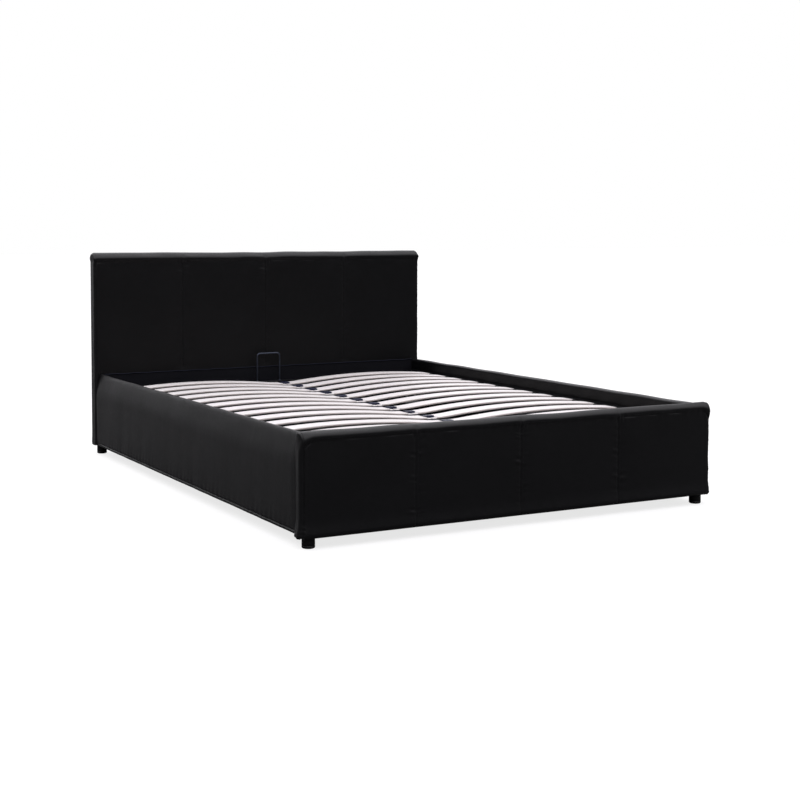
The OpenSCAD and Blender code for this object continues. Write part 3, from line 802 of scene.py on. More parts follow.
def stitches(spots, directions, normals, cover, name):
    """Short rounded bars of thread. Each is a five-sided rod whose radius follows a half ellipse
    along its length, half sunk in the cover."""
    thread, proud = 0.00072, 0.00025
    length = cover.stitch * STITCH_SHARE
    a = np.linspace(0, 2 * math.pi, 5, endpoint=False)
    t = np.linspace(-1, 1, 5)
    radius = thread * np.sqrt(np.clip(1.03 - t ** 2, 0, None))
    directions = directions / np.linalg.norm(directions, axis=1, keepdims=True)
    side = np.cross(directions, normals)
    side /= np.maximum(np.linalg.norm(side, axis=1, keepdims=True), 1e-9)
    lift = np.cross(side, directions)
    lift = np.where((np.einsum("ij,ij->i", lift, normals) < 0)[:, None], -lift, lift)
    ring = (radius[:, None, None] * (np.cos(a)[None, :, None] * side[:, None, None, :]
                                     + np.sin(a)[None, :, None] * lift[:, None, None, :]))
    along = (t * length / 2)[None, :, None, None] * directions[:, None, None, :]
    centre = spots[:, None, None, :] + lift[:, None, None, :] * proud
    made = piece(name, *bars(centre + along + ring), "thread")
    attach(made, "bed_base")


def nearest_spots(board, final, wanted_u, wanted_v, span=0.012):
    """Surface points and normals at wanted (U, V) places on the front, by weighting the
    finished points near each place by a bell of their distance."""
    reach = 0.0035
    on = board.normals[:, 1] < 0.35
    U, V, P, N = board.U[on], board.V[on], final[on], board.normals[on]
    order = np.argsort(V)
    U, V, P, N = U[order], V[order], P[order], N[order]
    spots, normals = [], []
    for u, v in zip(wanted_u, wanted_v):
        a, b = np.searchsorted(V, [v - span, v + span])
        w = np.exp(-(((U[a:b] - u) / reach) ** 2 + ((V[a:b] - v) / reach) ** 2)) + 1e-12
        spots.append((P[a:b] * w[:, None]).sum(0) / w.sum())
        normals.append((N[a:b] * w[:, None]).sum(0) / w.sum())
    normals = np.array(normals)
    return np.array(spots), normals / np.linalg.norm(normals, axis=1, keepdims=True)


def sew(board, final, cover, name, corner, low_v):
    """Topstitches beside each panel seam, and on the border just outside its seam."""
    pitch, beside_panel, beside_border, below_border = cover.stitch, 0.0050, 0.0075, 0.006
    up, across = (0.0, 0.0, 1.0), (1.0, 0.0, 0.0)
    v = np.arange(low_v, board.roll_z - below_border, pitch)
    rows = [(np.full_like(v, s + beside_panel), v, up) for s in board.seams]
    u = np.arange(-board.side + corner, board.side - corner, pitch)
    rows.append((u, np.full_like(u, board.roll_z + beside_border), across))
    v = np.arange(board.z0 + 0.02, board.roll_z - corner, pitch)
    rows += [(np.full_like(v, sign * (board.side + beside_border)), v, up) for sign in (-1, 1)]
    found = [nearest_spots(board, final, u, v) for u, v, _ in rows]
    ways = [np.tile(way, (len(u), 1)) for u, _, way in rows]
    stitches(np.concatenate([f[0] for f in found]), np.concatenate(ways),
             np.concatenate([f[1] for f in found]), cover, name)


class BED_OT_headboard(Operator):
    """Sewn headboard cover over its padding, its threads, lining, binding and back cloth"""

    bl_idname = "bed.headboard"
    bl_label = "Headboard"

    def execute(self, context):
        cover = settings()[0]
        w = HALF_WIDTH
        board = EndBoard(HEAD_LOW, HEAD_HIGH, 0.007, 0.006, [-w / 2, 0.0, w / 2], 128, 212)
        corner = 0.014
        depth = board.sewn(cover, corner, 3, roll_bulge=0.0048, belly=0.0015,
                           end_swell=0.0024, crest_rise=0.0036)
        x, z = board.points[:, 0], board.points[:, 2]
        # the lower front and the back opening step in, behind the lining and the cloth
        inner, lining_top = float(LINING_HIGH[0]), LINING_HIGH[2]
        low = (ease((inner - 0.0012 - np.abs(x)) / 0.005)
               * ease((lining_top - 0.0012 - z) / 0.005) * (board.front > 0.5))
        back = (ease((CLOTH_HIGH[0] - 0.004 - np.abs(x)) / 0.006)
                * ease((CLOTH_HIGH[2] - 0.004 - z) / 0.006)
                * ease((z - CLOTH_LOW[2] - 0.004) / 0.006) * (board.back > 0.5))
        against = ((np.abs(x) > inner) * ease((RAIL_HIGH[2] + 0.02 - z) / 0.02)
                   * (board.front > 0.3))
        depth = np.minimum(depth, depth * (1 - against))
        # the lower board and the back timbers lie two millimetres under the cover
        thin = (board.front > 0.3) * ease((lining_top + 0.012 - z) / 0.006)
        depth = np.where(thin > 0, np.maximum(depth, -0.0045 + 0.0028 * thin), depth)
        behind_lining, behind_cloth = -0.0030, -0.0018
        depth = depth * (1 - low) + behind_lining * low
        depth = depth * (1 - back) + behind_cloth * back
        final = board.points + board.normals * depth[:, None]
        made = piece("headboard_sewn_cover", final, board.faces, "cover")
        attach(made, "bed_base")
        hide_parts("headboard_cover", "headboard_padding")
        sew(board, final, cover, "headboard_threads", corner, float(lining_top) + 0.01)
        self.lining()
        self.back_cloth()
        return {"FINISHED"}

    def lining(self):
        """Stretched lining, and the folded tape along its top: a flattened tube whose height
        waves by under a millimetre."""
        make_lining("headboard_lower_lining", "headboard_lining", LINING_LOW, LINING_HIGH, -1, 11)
        z = float(LINING_HIGH[2]) - 0.0015
        x = np.linspace(LINING_LOW[0] + 0.001, LINING_HIGH[0] - 0.001, 160)
        y = LINING_LOW[1] - 0.0008 + 0 * x
        path = np.stack([x, y, z + 0.0006 * ripple(x, 0.09, 61)], -1)
        made = piece("lining_binding", *tube(path, 0.0022, 10, flat=0.55), "binding")
        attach(made, "bed_base")

    def back_cloth(self):
        """Cloth stapled over the back opening. It sinks between the timbers by a millimetre
        and gathers at its staples."""
        low, high = CLOTH_LOW, CLOTH_HIGH
        lap, staple_in, staple_pitch = 0.008, 0.007, 0.055
        x = np.linspace(low[0] - lap, high[0] + lap, 150)
        z = np.linspace(low[2] - lap, high[2] + lap, 80)
        X, Z, edge = panel(x, z)
        slack = ease(edge / 0.06)
        Y = (high[1] + 0.0006 - 0.0010 * slack * (0.6 + 0.4 * swell(X, Z, 0.25, 71))
             + 0.0005 * bell(edge, 0.02) * ripple(np.where(edge == X - x[0], Z, X), 0.03, 77))
        sheet = plate(np.stack([X, Y, Z], -1), np.array([0, -1.0, 0]), 0.0007)
        made = piece("headboard_back_sheet", *sheet, "spun_cloth")
        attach(made, "bed_base")
        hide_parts("headboard_back_cloth")
        s = np.arange(x[0] + 0.03, x[-1] - 0.02, staple_pitch)
        t = np.arange(z[0] + 0.03, z[-1] - 0.02, staple_pitch)
        y = float(high[1]) + 0.0010
        spots = [np.stack([s, 0 * s + y, 0 * s + row], -1)
                 for row in (z[0] + staple_in, z[-1] - staple_in)]
        spots += [np.stack([0 * t + row, 0 * t + y, t], -1)
                  for row in (x[0] + staple_in, x[-1] - staple_in)]
        ways = ([np.tile([1.0, 0.15, 0], (len(s), 1))] * 2
                + [np.tile([0, 0.15, 1.0], (len(t), 1))] * 2)
        staples(np.concatenate(spots), np.concatenate(ways), np.array([0, 1.0, 0]),
                "back_cloth_staples")


def panel(x, z):
    """An upright grid: its x, its z, and the distance of each point from the nearest edge."""
    X, Z = np.meshgrid(x, z, indexing="ij")
    edge = np.minimum(np.minimum(X - x[0], x[-1] - X), np.minimum(Z - z[0], z[-1] - Z))
    return X, Z, edge


def plate(front, back_way, thickness):
    """A closed thin sheet: a grid of points, the same grid moved back, and a rim between."""
    rows, cols = front.shape[:2]
    back = front + back_way * thickness
    points = np.concatenate([front.reshape(-1, 3), back.reshape(-1, 3)])
    n = rows * cols
    f = grid_faces(rows, cols)
    i = np.arange(n).reshape(rows, cols)
    rim = np.concatenate([i[0, :], i[1:, -1], i[-1, ::-1][1:], i[::-1, 0][1:-1]])
    nxt = np.roll(rim, -1)
    sides = np.stack([rim, rim + n, nxt + n, nxt], -1)
    faces = np.concatenate([f, f[:, ::-1] + n, sides[:, ::-1]])
    return points, outward(points, faces)


def make_lining(name, node, low, high, face, seed):
    """A stretched lining on the side of a board: face -1 looks to the foot, +1 to the head.
    It is a thin plate whose face waves by under a millimetre."""
    gap, thickness = 0.0005, 0.0012
    x = np.linspace(low[0] + gap, high[0] - gap, 180)
    z = np.linspace(low[2], high[2] - gap, 44)
    X, Z, edge = panel(x, z)
    y_face = low[1] if face < 0 else high[1]
    Y = y_face + face * (0.0004 * swell(X, Z, 0.16, seed) * ease(edge / 0.03)
                         + 0.0004 * bell(edge, 0.012) * ripple(X + Z, 0.035, seed + 3))
    sheet = plate(np.stack([X, Y, Z], -1), np.array([0, -face * 1.0, 0]), thickness)
    made = piece(name, *sheet, "lining")
    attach(made, "bed_base")
    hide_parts(node)


def staples(spots, ways, normal, name):
    """Wire staples pressed flat: little bars ten millimetres long, whose ends bend down by
    the sixth power of the distance from their middle."""
    wire, half_length, bend = 0.00045, 0.005, 0.0009
    t = np.linspace(-1, 1, 5)
    a = np.linspace(0, 2 * math.pi, 6, endpoint=False)
    ways = ways / np.linalg.norm(ways, axis=1, keepdims=True)
    side = np.cross(ways, normal)
    side /= np.linalg.norm(side, axis=1, keepdims=True)
    drop = -bend * np.abs(t) ** 6
    ring = wire * (np.cos(a)[None, None, :, None] * side[:, None, None, :]
                   + np.sin(a)[None, None, :, None] * normal)
    rods = (spots[:, None, None, :]
            + (t * half_length)[None, :, None, None] * ways[:, None, None, :]
            + drop[None, :, None, None] * normal + ring)
    made = piece(name, *bars(rods), "zinc")
    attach(made, "bed_base")


def tube(path, radius, sides, flat=1.0):
    """A closed tube along a path. Each ring stands square to the path, its second axis scaled by
    flat, and the last rings shrink to close the ends round."""
    way = np.gradient(path, axis=0)
    way /= np.linalg.norm(way, axis=1, keepdims=True)
    side = np.cross(way, np.array([0.0, 1.0, 0.0]))
    side /= np.linalg.norm(side, axis=1, keepdims=True)
    up = np.cross(side, way)
    a = np.linspace(0, 2 * math.pi, sides, endpoint=False)
    ring = (np.cos(a)[None, :, None] * side[:, None, :]
            + flat * np.sin(a)[None, :, None] * up[:, None, :])
    body = path[:, None, :] + radius * ring
    start, end = [], []
    for s in (0.0, 0.5, 0.87):
        q = math.sqrt(1 - s * s)
        end.append(path[-1] + way[-1] * radius * s + radius * q * ring[-1])
        start.append(path[0] - way[0] * radius * s + radius * q * ring[0])
    tip0 = np.tile(path[0] - way[0] * radius, (sides, 1))
    tip1 = np.tile(path[-1] + way[-1] * radius, (sides, 1))
    grid = np.concatenate([[tip0], start[::-1][:2], body, end[1:], [tip1]])
    points, faces, _ = weld(grid.reshape(-1, 3), grid_faces(len(grid), sides, wrap_cols=True))
    return points, outward(points, faces)


class BED_OT_footboard(Operator):
    """Sewn footboard cover over its padding, its threads and its inner lining"""

    bl_idname = "bed.footboard"
    bl_label = "Footboard"

    def execute(self, context):
        cover = settings()[0]
        w = HALF_WIDTH
        board = EndBoard(FOOT_LOW, FOOT_HIGH, 0.007, 0.010, [-w / 2, 0.0, w / 2], 82, 226)
        corner = 0.045
        depth = board.sewn(cover, corner, 13, roll_bulge=0.0040, belly=0.0060,
                           end_swell=0.0060, crest_rise=0.0)
        x, z = board.points[:, 0], board.points[:, 2]
        # the back steps in behind the lining, and lies flat against the rails' ends
        inner = float(FOOT_LINING_HIGH[0])
        low = (ease((inner + 0.002 - np.abs(x)) / 0.006)
               * ease((FOOT_LINING_HIGH[2] + 0.001 - z) / 0.006) * (board.back > 0.5))
        against = ((np.abs(x) > inner) * ease((RAIL_HIGH[2] + 0.004 - z) / 0.02)
                   * (board.back > 0.3))
        at_rail, behind_lining = -0.0003, -0.0045
        depth = depth * (1 - against) + at_rail * against
        depth = depth * (1 - low) + behind_lining * low
        final = board.points + board.normals * depth[:, None]
        made = piece("footboard_sewn_cover", final, board.faces, "cover")
        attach(made, "bed_base")
        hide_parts("footboard_cover", "footboard_padding")
        sew(board, final, cover, "footboard_threads", corner, float(FOOT_LOW[2]) + 0.02)
        make_lining("footboard_inner_lining", "footboard_lining", FOOT_LINING_LOW,
                    FOOT_LINING_HIGH, 1, 15)
        return {"FINISHED"}


class BED_OT_rails(Operator):
    """Padded side rail covers with their bottom seam"""

    bl_idname = "bed.rails"
    bl_label = "Side rails"

    def execute(self, context):
        for side in ("left", "right"):
            self.rail(side, 1 if side == "right" else -1)
        return {"FINISHED"}

    def rail(self, side, sign):
        """Closed section carried along Y. The section goes up the outer face, over a half-round
        top, down the inner face to the cover's edge, in behind the board's face, and back
        underneath. The outer face crowns, and sinks at the bottom seam, with gathers above it."""
        cover = settings()[0]
        x0, x1 = float(RAIL_LOW[0]), float(RAIL_HIGH[0])
        z0, z1 = float(RAIL_LOW[2]), float(RAIL_HIGH[2])
        y0, y1 = float(RAIL_LOW[1]), float(RAIL_HIGH[1])
        edge_z = float(FOOT_LINING_HIGH[2])
        # the outer face leans in by reach over the last drop of its height, the top falls by
        # bank to the inner face, b rounds the lower edge and turn_in is the cover's thickness
        drop, reach, bank, b, turn_in = 0.090, 0.021, 0.010, 0.006, 0.0035
        shoulder, crest, seam_z = z1 - drop, x1 - reach, z0 + 0.013
        q = np.linspace(0, math.pi / 2, 5)
        rise = spread(z0 + b, shoulder, 62, [seam_z], 0.016, 7.0)
        over = np.linspace(0, math.pi / 2, 26)[1:]
        down = np.linspace(math.pi / 2, math.pi, 10)[1:]
        fall = np.linspace(z1 - bank, edge_z + 0.002, 6)[1:]
        sx = np.concatenate([x1 - b + b * np.sin(q[:-1]), np.full_like(rise, x1),
                             x1 - reach * (0.45 * np.sin(over) ** 1.5 + 0.55 * (1 - np.cos(over))),
                             crest + (crest - x0) * np.cos(down), np.full_like(fall, x0),
                             [x0 + 0.0006, x0 + turn_in, x0 + turn_in],
                             np.linspace(x0 + turn_in, x1 - b, 8)[1:-1]])
        sz = np.concatenate([z0 + b - b * np.cos(q[:-1]), rise, shoulder + drop * np.sin(over),
                             z1 - bank + bank * np.sin(down), fall,
                             [edge_z + 0.0004, edge_z, z0], np.full(6, z0)])
        y = spread(y0, y1, 300, [y0, y1], 0.05, 1.5)
        Y, SX = np.meshgrid(y, sx, indexing="ij")
        _, SZ = np.meshgrid(y, sz, indexing="ij")
        outer = ease((SX - (crest - 0.004)) / 0.014)
        top = ease((SZ - (z1 - 0.050)) / 0.045)
        height = SZ - seam_z
        slack = (cover.crown * 0.9 * np.sin(np.pi * np.clip((SZ - z0) / (z1 - z0), 0, 1)) ** 0.6
                 * outer * (1 - top))
        seam = -outer * (cover.seam_depth * 0.8 * bell(height, 0.0034)
                         + 0.0010 * ease((0.003 - height) / 0.005))
        gather = (cover.pucker * 0.75 * np.exp(-np.maximum(height, 0) / 0.022) * (height > -0.004)
                  * ripple(Y + 0.25 * height, 0.030, 100 + sign) * outer)
        below = cover.pucker * 0.5 * ripple(Y, 0.02, 120 + sign) * (height < 0.002) * outer
        creases = (0.0006 * ripple(Y + 0.10 * SZ, 0.130, 130 + sign)
                   * np.exp(-np.maximum(height, 0) / 0.12) * outer)
        drape = 0.0010 * swell(Y, SZ, 0.36, 140 + sign) * outer * (1 - top)
        wave = 0.0008 * ripple(Y, 0.27, 150 + sign) * top
        plump = (0.007 + 0.008 * (y1 - Y) / (y1 - y0)) * top
        depth = slack + seam + gather + below + creases + drape
        ends = ease(np.minimum(Y - y0, y1 - Y) / 0.03)
        depth = depth * (0.45 + 0.55 * ends) - 0.0004
        grid = np.stack([sign * (SX + depth * outer), Y, SZ + wave + plump], -1)
        points, faces, _ = closed(grid)
        made = piece("rail_sewn_cover_" + side, points, faces, "cover")
        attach(made, "bed_base")
        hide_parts("rail_cover_" + side, "rail_padding_" + side)
        # bottom topstitch row
        at = np.arange(y0 + 0.01, y1 - 0.01, cover.stitch)
        k = int(np.argmin(np.abs(sz[: len(q) + len(rise)] - (seam_z - 0.0055))))
        face_x = np.interp(at, y, grid[:, k, 0])
        spots = np.stack([face_x, at, np.full_like(at, sz[k])], -1)
        stitches(spots, np.tile([0, 1.0, 0], (len(at), 1)),
                 np.tile([float(sign), 0, 0], (len(at), 1)), cover, "rail_threads_" + side)


class BED_OT_slats(Operator):
    """Bent slats with foil faces and bare ply edges, the edges coloured paler with painted light
    """

    bl_idname = "bed.slats"
    bl_label = "Slats"

    def execute(self, context):
        for row in SLAT_ROWS:
            self.row(row)
        return {"FINISHED"}

    def row(self, node):
        """Each slat is a rounded rectangle carried along a bow, an arc of a large circle whose
        crest lies nearer the rail: its height falls from the crest by the square of the distance
        over twice the radius. It levels off over the middle tube, where a tongue half as thick
        runs on to the middle."""
        slats = settings()[1]
        low, high = corners(node)
        centre_low = corners("centre_holders")[0]
        thick = 0.008
        half_w = float(high[1] - low[1]) / 2
        yc = float(high[1] + low[1]) / 2
        x_out, x_in, tongue = float(high[0]), 0.0030, 0.0205
        crest_x, radius = 0.44, 3.3
        crest_z = float(high[2]) - thick - 0.0072
        rest_z = float(centre_low[2]) + 0.0006
        x = np.concatenate([np.linspace(x_in, tongue, 4), np.linspace(tongue + 0.0006, x_out, 48)])
        bow = crest_z - (x - crest_x) ** 2 / (2 * radius)
        # softly the higher of the bow and the rest
        soft, far = 0.0012, 20
        lift = (bow - rest_z) / soft
        base = rest_z + soft * np.where(lift > far, lift, np.log1p(np.exp(np.minimum(lift, far))))
        slope = np.gradient(base, x)
        part = np.where(x <= tongue, 0.5, 1.0)[:, None]
        along = np.stack([np.ones_like(x), slope], -1)
        along /= np.linalg.norm(along, axis=1, keepdims=True)
        r = slats.rounding
        ring = rounded_ring(half_w, thick / 2, r, 5)
        across = np.linspace(half_w - r, -half_w + r, 7)[1:-1]
        over = np.stack([across, np.full(5, thick / 2)], -1)
        ring = np.concatenate([ring[:5], over, ring[5:15], -over, ring[15:]])
        face = np.clip((np.abs(ring[:, 1]) - (thick / 2 - r * 0.75)) / (r * 0.6), 0, 1)
        layer = (ring[:, 1] / thick) + 0.5
        shells = []
        for sign in (-1, 1):
            P = np.stack([
                x[:, None] - along[:, 1:2] * ring[None, :, 1] * part,
                np.full((len(x), 1), yc) + ring[None, :, 0],
                base[:, None] + part * (thick / 2 + along[:, 0:1] * ring[None, :, 1])], -1)
            P[..., 0] *= sign
            pts, faces, kept = closed(P)
            shells.append((pts, faces, {"face": np.tile(face, len(P) + 2)[kept],
                                        "layer": np.tile(layer, len(P) + 2)[kept]}))
        points, faces, extra = gather(shells)
        made = piece(node.replace("row", "pair"), points, faces, "slat", attributes=extra)
        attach(made, "platform")
        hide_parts(node)


def rounded_ring(half_y, half_z, r, count):
    """Points round a rectangle with round corners, in order, as (y, z) from its middle."""
    a = np.linspace(0, math.pi / 2, count)
    parts = []
    for cy, cz, turn in ((1, 1, 0), (-1, 1, 1), (-1, -1, 2), (1, -1, 3)):
        t = a + turn * math.pi / 2
        parts.append(np.stack([cy * (half_y - r) + r * np.cos(t),
                               cz * (half_z - r) + r * np.sin(t)], -1))
    return np.concatenate(parts)


def sleeve(x_path, inset, half_y, half_z, centre, pocket_y, pocket_z):
    """A moulded sleeve: a rounded rectangle carried along x_path. The inset of each station
    shrinks the outer rectangle, and stations with inset None use the pocket's rectangle."""
    outer_r, n = 0.0035, 5
    rings = []
    for x, e in zip(x_path, inset):
        if e is None:
            ring = rounded_ring(pocket_y, pocket_z, 0.0012, n)
        else:
            ring = rounded_ring(half_y - e, half_z - e, max(outer_r - e, 0.0006), n)
        rings.append(np.concatenate([np.full((len(ring), 1), x), ring], axis=1))
    return np.array(rings) + np.array(centre)


def rivet(x, y, z):
    """Low dome: a circle whose radius shrinks as its height follows a quarter sine."""
    radius, height, sunk = 0.0036, 0.0012, 0.001
    t = np.linspace(0, math.pi / 2, 6)
    R = np.concatenate([[0.0, radius], radius * np.cos(t)])
    H = np.concatenate([[-sunk, -sunk], height * np.sin(t)])
    return turned(x, y, R, z + H, 14)


class BED_OT_holders(Operator):
    """Moulded slat holders at the rails and along the middle"""

    bl_idname = "bed.holders"
    bl_label = "Slat holders"

    def execute(self, context):
        low, high = corners("side_holders")
        middle = float(corners("centre_holders")[1][0])
        wall, deep, pocket_z, block_drop = 0.0026, 0.0225, 0.0047, 0.0035
        z0, z1 = float(low[2]), float(high[2])
        zc, half_z = (z0 + z1) / 2, (z1 - z0) / 2
        x_out, x_in = float(high[0]), float(high[0]) - deep
        # the closed outer end, the straight body, the lip, and the pocket inside it
        path = [x_out] + [x_out - v for v in (0.0003, 0.0010, 0.0022, 0.0040)]
        path += [x_out - 0.010, x_in + 0.0035, x_in + 0.0016, x_in + 0.0005, x_in]
        inset = [0.0032, 0.0018, 0.0009, 0.0003, 0.0, 0.0, 0.0, 0.0002, 0.0008, 0.0016]
        path += [x_in + 0.0008, x_in + 0.010, x_in + 0.0165]
        inset += [None, None, None]
        side, centre = [], []
        for node in SLAT_ROWS:
            a, b = corners(node)
            yc = float(a[1] + b[1]) / 2
            half_y = float(b[1] - a[1]) / 2 + 0.003
            for sign in (-1, 1):
                g = sleeve(path, inset, half_y, half_z, [0, yc, zc], half_y - wall, pocket_z)
                g[..., 0] *= sign
                side.append((*closed(g)[:2], {}))
                side.append(rivet(sign * (x_out - 0.008), yc, z1))
            centre += self.saddle(middle, yc, half_y, z0, z1 - block_drop)
            centre.append(rivet(0.0, yc, z1 - block_drop))
        p, f, _ = gather(side)
        made = piece("rail_side_slat_sleeves", p, f, "black_plastic")
        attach(made, "platform")
        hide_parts("side_holders")
        p, f, _ = gather(centre)
        made = piece("middle_slat_sleeves", p, f, "navy_plastic")
        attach(made, "platform")
        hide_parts("centre_holders")
        return {"FINISHED"}

    def saddle(self, half_x, yc, half_y, z0, top):
        """A centre holder: a thin tray under the two slat ends and a block between them.
        Each is a rounded rectangle carried along Y, drawn in at both ends by a quarter circle."""
        tray = (half_y, z0, z0 + 0.0016, half_x - 0.002)
        block = (0.014, z0 + 0.0004, top, 0.0202)
        round_end, tall = 0.0022, 0.006
        shells = []
        q = np.linspace(0, math.pi / 2, 5)
        for reach, bottom, top, wide in (tray, block):
            e = round_end * (1 - np.sin(q)) * 0.5
            run = np.concatenate([yc - reach + round_end * (1 - np.cos(q)),
                                  yc + reach - round_end * (1 - np.cos(q[::-1]))])
            half_z = (top - bottom) / 2
            thin = min(1.0, (top - bottom) / tall)
            rings = [np.insert(rounded_ring(wide - k, half_z - k * thin, 0.0006, 5), 1, y, axis=1)
                     for y, k in zip(run, np.concatenate([e, e[::-1]]))]
            g = np.array(rings) + np.array([0, 0, (top + bottom) / 2])
            shells.append((*closed(g)[:2], {}))
        return shells


class BED_OT_platform(Operator):
    """Lift frame finish, mattress retainer and pull strap"""

    bl_idname = "bed.platform"
    bl_label = "Lift frame"

    def execute(self, context):
        dress("powder", "platform_side_tubes", "platform_head_tube", "platform_foot_tube",
              "platform_centre_tube", "platform_cross_tubes", "lift_brackets")
        dress("zinc", "platform_pivot_pins")
        self.retainer()
        self.strap()
        return {"FINISHED"}

    def retainer(self):
        """Bent rod: two legs, two quarter-circle corners and a bar, as one tube."""
        low, high = corners("mattress_retainer")
        r = float(high[1] - low[1]) / 2
        x = float(high[0]) - r
        y = float(high[1] + low[1]) / 2
        top, foot = float(high[2]) - r, float(low[2])
        bend = 0.014
        a = np.linspace(0, math.pi / 2, 10)
        leg = np.linspace(foot + 0.003, top - bend, 14)
        bar = np.linspace(-x + bend, x - bend, 14)[1:-1]
        path = np.concatenate([
            np.stack([0 * leg - x, leg], -1),
            np.stack([-x + bend - bend * np.cos(a[1:]), top - bend + bend * np.sin(a[1:])], -1),
            np.stack([bar, 0 * bar + top], -1),
            np.stack([x - bend + bend * np.sin(a[:-1]), top - bend + bend * np.cos(a[:-1])], -1),
            np.stack([0 * leg + x, leg[::-1]], -1)])
        path = np.stack([path[:, 0], 0 * path[:, 0] + y, path[:, 1]], -1)
        # a low flared foot under each leg
        t = np.linspace(0, 1, 7)
        flare = 0.0035
        R = np.concatenate([[0.0], r * (1.75 - 0.85 * ease(t)), [0.0]])
        H = np.concatenate([[foot - 0.0008], foot + flare * t, [foot + flare]])
        shells = [(*tube(path, r, 16), {})] + [turned(s * x, y, R, H, 18) for s in (-1, 1)]
        p, f, _ = gather(shells)
        made = piece("retainer_loop", p, f, "rod")
        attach(made, "platform")
        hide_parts("mattress_retainer")

    def strap(self):
        """Webbing: a flat rounded section carried along tab, arch and tab. The arch's height is
        1 minus the square of x over its half width, to the power 1.15, which eases it into the
        tabs."""
        low, high = corners("pull_strap")
        z0, z1 = float(low[2]), float(high[2])
        yc, half_y = float(low[1] + high[1]) / 2, float(high[1] - low[1]) / 2
        x_end = float(high[0])
        x = np.linspace(-x_end, x_end, 121)
        half_arch, lift, half_thick = 0.094, 0.0014, 0.0011
        arch = (z1 - z0 - 0.003) * (np.clip(1 - (x / half_arch) ** 2, 0, 1) ** 1.15)
        z = z0 + lift + arch
        way = np.stack([np.gradient(x), np.gradient(z)], -1)
        way /= np.linalg.norm(way, axis=1, keepdims=True)
        ring = rounded_ring(half_y, half_thick, 0.00105, 4)
        P = np.stack([x[:, None] - way[:, 1:2] * ring[None, :, 1],
                      yc + ring[None, :, 0] + 0 * x[:, None],
                      z[:, None] + way[:, 0:1] * ring[None, :, 1]], -1)
        made = piece("pull_strap_webbing", *closed(P)[:2], "webbing")
        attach(made, "platform")
        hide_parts("pull_strap")
        rivets = [rivet(s * (x_end - 0.012), yc, z0 + 0.0026) for s in (-1, 1)]
        p, f, _ = gather(rivets)
        made = piece("strap_rivets", p, f, "zinc")
        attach(made, "platform")


class BED_OT_mechanism(Operator):
    """Finishes of the arms, plates, pins and gas struts"""

    bl_idname = "bed.mechanism"
    bl_label = "Lift mechanism"

    def execute(self, context):
        dress("powder", "hinge_plate_left", "hinge_plate_right", "rear_arm_left", "rear_arm_right",
              "front_arm_left", "front_arm_right", "strut_brackets", "corner_brackets",
              "strut_cylinders")
        dress("zinc", "base_pivot_pins", "frame_bolts", "strut_rods")
        return {"FINISHED"}


class BED_OT_carcass(Operator):
    """Boards, battens, storage floor and feet"""

    bl_idname = "bed.carcass"
    bl_label = "Boards and feet"

    def execute(self, context):
        dress("dark_board", "rail_core_left", "rail_core_right", "floor_battens", "centre_beam",
              "footboard_core")
        dress("timber", "headboard_frame", "headboard_lower_board", "headboard_panel")
        # the storage floor's dark colour is painted shade for the closed space under the slats
        dress("hardboard", "floor_panel_head", "floor_panel_foot")
        self.feet("feet", "glide_feet")
        self.feet("centre_legs", "beam_glides")
        return {"FINISHED"}

    def feet(self, node, name):
        """Turned profile: a pad with a soft edge, a slim groove, a straight stem and a top rim."""
        low, high = corners(node)
        if node == "feet":
            r, top = 0.0215, 0.040
            spots = [(sx * (float(high[0]) - r), y) for sx in (-1, 1)
                     for y in (float(low[1]) + r, float(high[1]) - r)]
        else:
            r, top = float(high[0]), float(high[2])
            mid = float(low[1] + high[1]) / 2
            reach = float(high[1]) - r - mid
            spots = [(0.0, mid + k * reach) for k in (-1, 0, 1)]
        t = np.linspace(0, math.pi / 2, 7)
        soft, taper = 0.005, 0.985
        R = np.concatenate([[0.0, r * 0.55], r - soft + soft * np.sin(t),
                            [r, r - 0.0008, r - 0.0008, r], np.linspace(r, r * taper, 4)[1:],
                            [r * taper, r * 0.96, r * 0.6, 0.0]])
        H = np.concatenate([[0.0006, 0.0], soft - soft * np.cos(t),
                            [0.0085, 0.0090, 0.0102, 0.0107],
                            np.linspace(0.0107, top - 0.002, 4)[1:],
                            [top - 0.0012, top - 0.0002, top, top]])
        shells = [turned(x, y, R, H, 40) for x, y in spots]
        p, f, _ = gather(shells)
        made = piece(name, p, f, "black_plastic")
        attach(made, "bed_base")
        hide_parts(node)


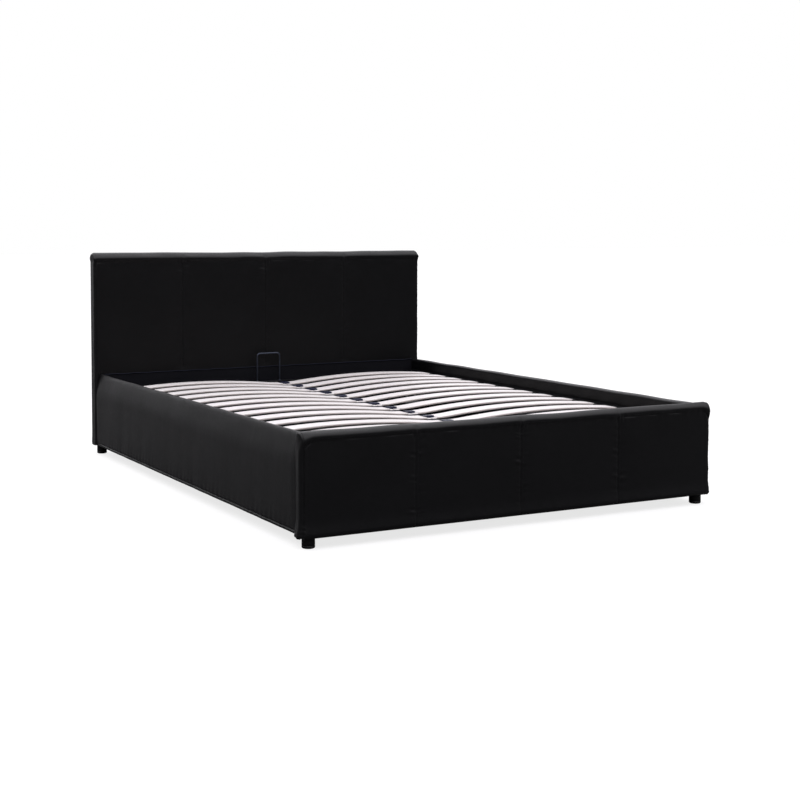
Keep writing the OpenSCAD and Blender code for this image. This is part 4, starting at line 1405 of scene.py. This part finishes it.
class BED_OT_stage(Operator):
    """Camera, plain floor and soft studio light"""

    bl_idname = "bed.stage"
    bl_label = "Stage"

    def execute(self, context):
        stage = settings()[2]
        scene = context.scene
        self.camera(scene)
        half_floor, below, count = 40, 0.0002, 9
        x = np.linspace(-half_floor, half_floor, count)
        X, Y = np.meshgrid(x, x, indexing="ij")
        grid = np.stack([X, Y, 0 * X - below], -1)
        faces = grid_faces(count, count)[:, ::-1]
        floor = piece("floor", grid.reshape(-1, 3), faces, "floor")
        self.room(scene, stage)
        scene.view_settings.view_transform = "Standard"
        self.lamp("softbox_left", (-3.6, 1.8, 3.2), (-0.6, 0.0, 0.3), 2.4, 1.8, stage.lamp_power)
        return {"FINISHED"}

    def room(self, scene, stage):
        """A white room: bright overhead, dim at the walls, and plain white where it is seen."""
        scene.world = bpy.data.worlds.new("soft_room")
        s = Shader("", scene.world)
        s.tree.nodes.clear()
        x, y, z = s.axes(s.node("ShaderNodeTexCoord", {}, output="Generated"))
        ceiling = z.between(0.33, 0.85) + z.between(0.62, 0.92) * 0.5
        behind = (x * 0.17 + y * 0.93 + z * 0.32).between(0.76, 0.95) * z.between(-0.06, 0.05)
        front = (0.0 - y).between(0.05, 0.50) * z.between(0.42, 0.62)
        right = x.between(0.55, 0.95) * 0.30
        strength = (stage.room_light + ceiling * stage.sky_light + behind * stage.back_light
                    + front * stage.front_light + right)
        lit = s.node("ShaderNodeBackground", {}, Color=(0.975, 0.96, 1.0), Strength=strength)
        seen = s.node("ShaderNodeBackground", {}, Color=(1.0, 1.0, 1.0), Strength=1.0)
        direct = s.node("ShaderNodeLightPath", {}, output="Is Camera Ray")
        mixed = s.node("ShaderNodeMixShader", {}, direct, lit, seen)
        s.node("ShaderNodeOutputWorld", {}, mixed)

    def camera(self, scene):
        """Looks along a heading of 27.7 degrees from +Y towards +X, 3.1 degrees down."""
        yaw, pitch, roll = 0.48431, -0.05431, -0.00019
        way = Vector((math.sin(yaw) * math.cos(pitch), math.cos(yaw) * math.cos(pitch),
                      math.sin(pitch)))
        right = Vector((math.cos(yaw), -math.sin(yaw), 0.0))
        up = right.cross(way)
        turn = Matrix((right, up, -way)).transposed() @ Matrix.Rotation(roll, 3, "Z")
        data = bpy.data.cameras.new("bed_camera")
        data.sensor_width = 36.0
        data.lens = 64.725
        data.shift_x = 0.04864
        data.shift_y = -0.12334
        data.clip_end = 200.0
        camera = bpy.data.objects.new("bed_camera", data)
        camera.matrix_world = Matrix.Translation((-2.7153, -5.0901, 1.0187)) @ turn.to_4x4()
        scene.collection.objects.link(camera)
        scene.camera = camera

    def lamp(self, name, place, aim, width, depth, power):
        """A rectangular softbox at a place, turned to face its aim."""
        data = bpy.data.lights.new(name, "AREA")
        data.shape = "RECTANGLE"
        data.size, data.size_y = width, depth
        data.energy = power
        lamp = bpy.data.objects.new(name, data)
        lamp.location = place
        lamp.rotation_mode = "QUATERNION"
        lamp.rotation_quaternion = (Vector(aim) - Vector(place)).to_track_quat("-Z", "Y")
        bpy.context.scene.collection.objects.link(lamp)


class BED_PT_builder(Panel):
    """The bed's sizes, colours and pieces"""

    bl_idname = "BED_PT_builder"
    bl_label = "Storage bed"
    bl_space_type = "VIEW_3D"
    bl_region_type = "UI"
    bl_category = "Bed"

    def draw(self, context):
        layout = self.layout
        for group in settings():
            box = layout.box()
            for key in group.__annotations__:
                box.prop(group, key)
        for step in STEPS:
            layout.operator(step.bl_idname)


GROUPS = (CoverSettings, SlatSettings, StageSettings)
STEPS = (BED_OT_stage, BED_OT_carcass, BED_OT_headboard, BED_OT_footboard, BED_OT_rails,
         BED_OT_platform, BED_OT_holders, BED_OT_slats, BED_OT_mechanism)


def register():
    for c in GROUPS + STEPS + (BED_PT_builder,):
        bpy.utils.register_class(c)
    bpy.types.Scene.bed_cover = PointerProperty(type=CoverSettings)
    bpy.types.Scene.bed_slats = PointerProperty(type=SlatSettings)
    bpy.types.Scene.bed_stage = PointerProperty(type=StageSettings)


def unregister():
    del bpy.types.Scene.bed_stage, bpy.types.Scene.bed_slats, bpy.types.Scene.bed_cover
    for c in reversed(GROUPS + STEPS + (BED_PT_builder,)):
        bpy.utils.unregister_class(c)


def main():
    register()
    for step in STEPS:
        group, name = step.bl_idname.split(".")
        getattr(getattr(bpy.ops, group), name)()


if __name__ == "__main__":
    main()
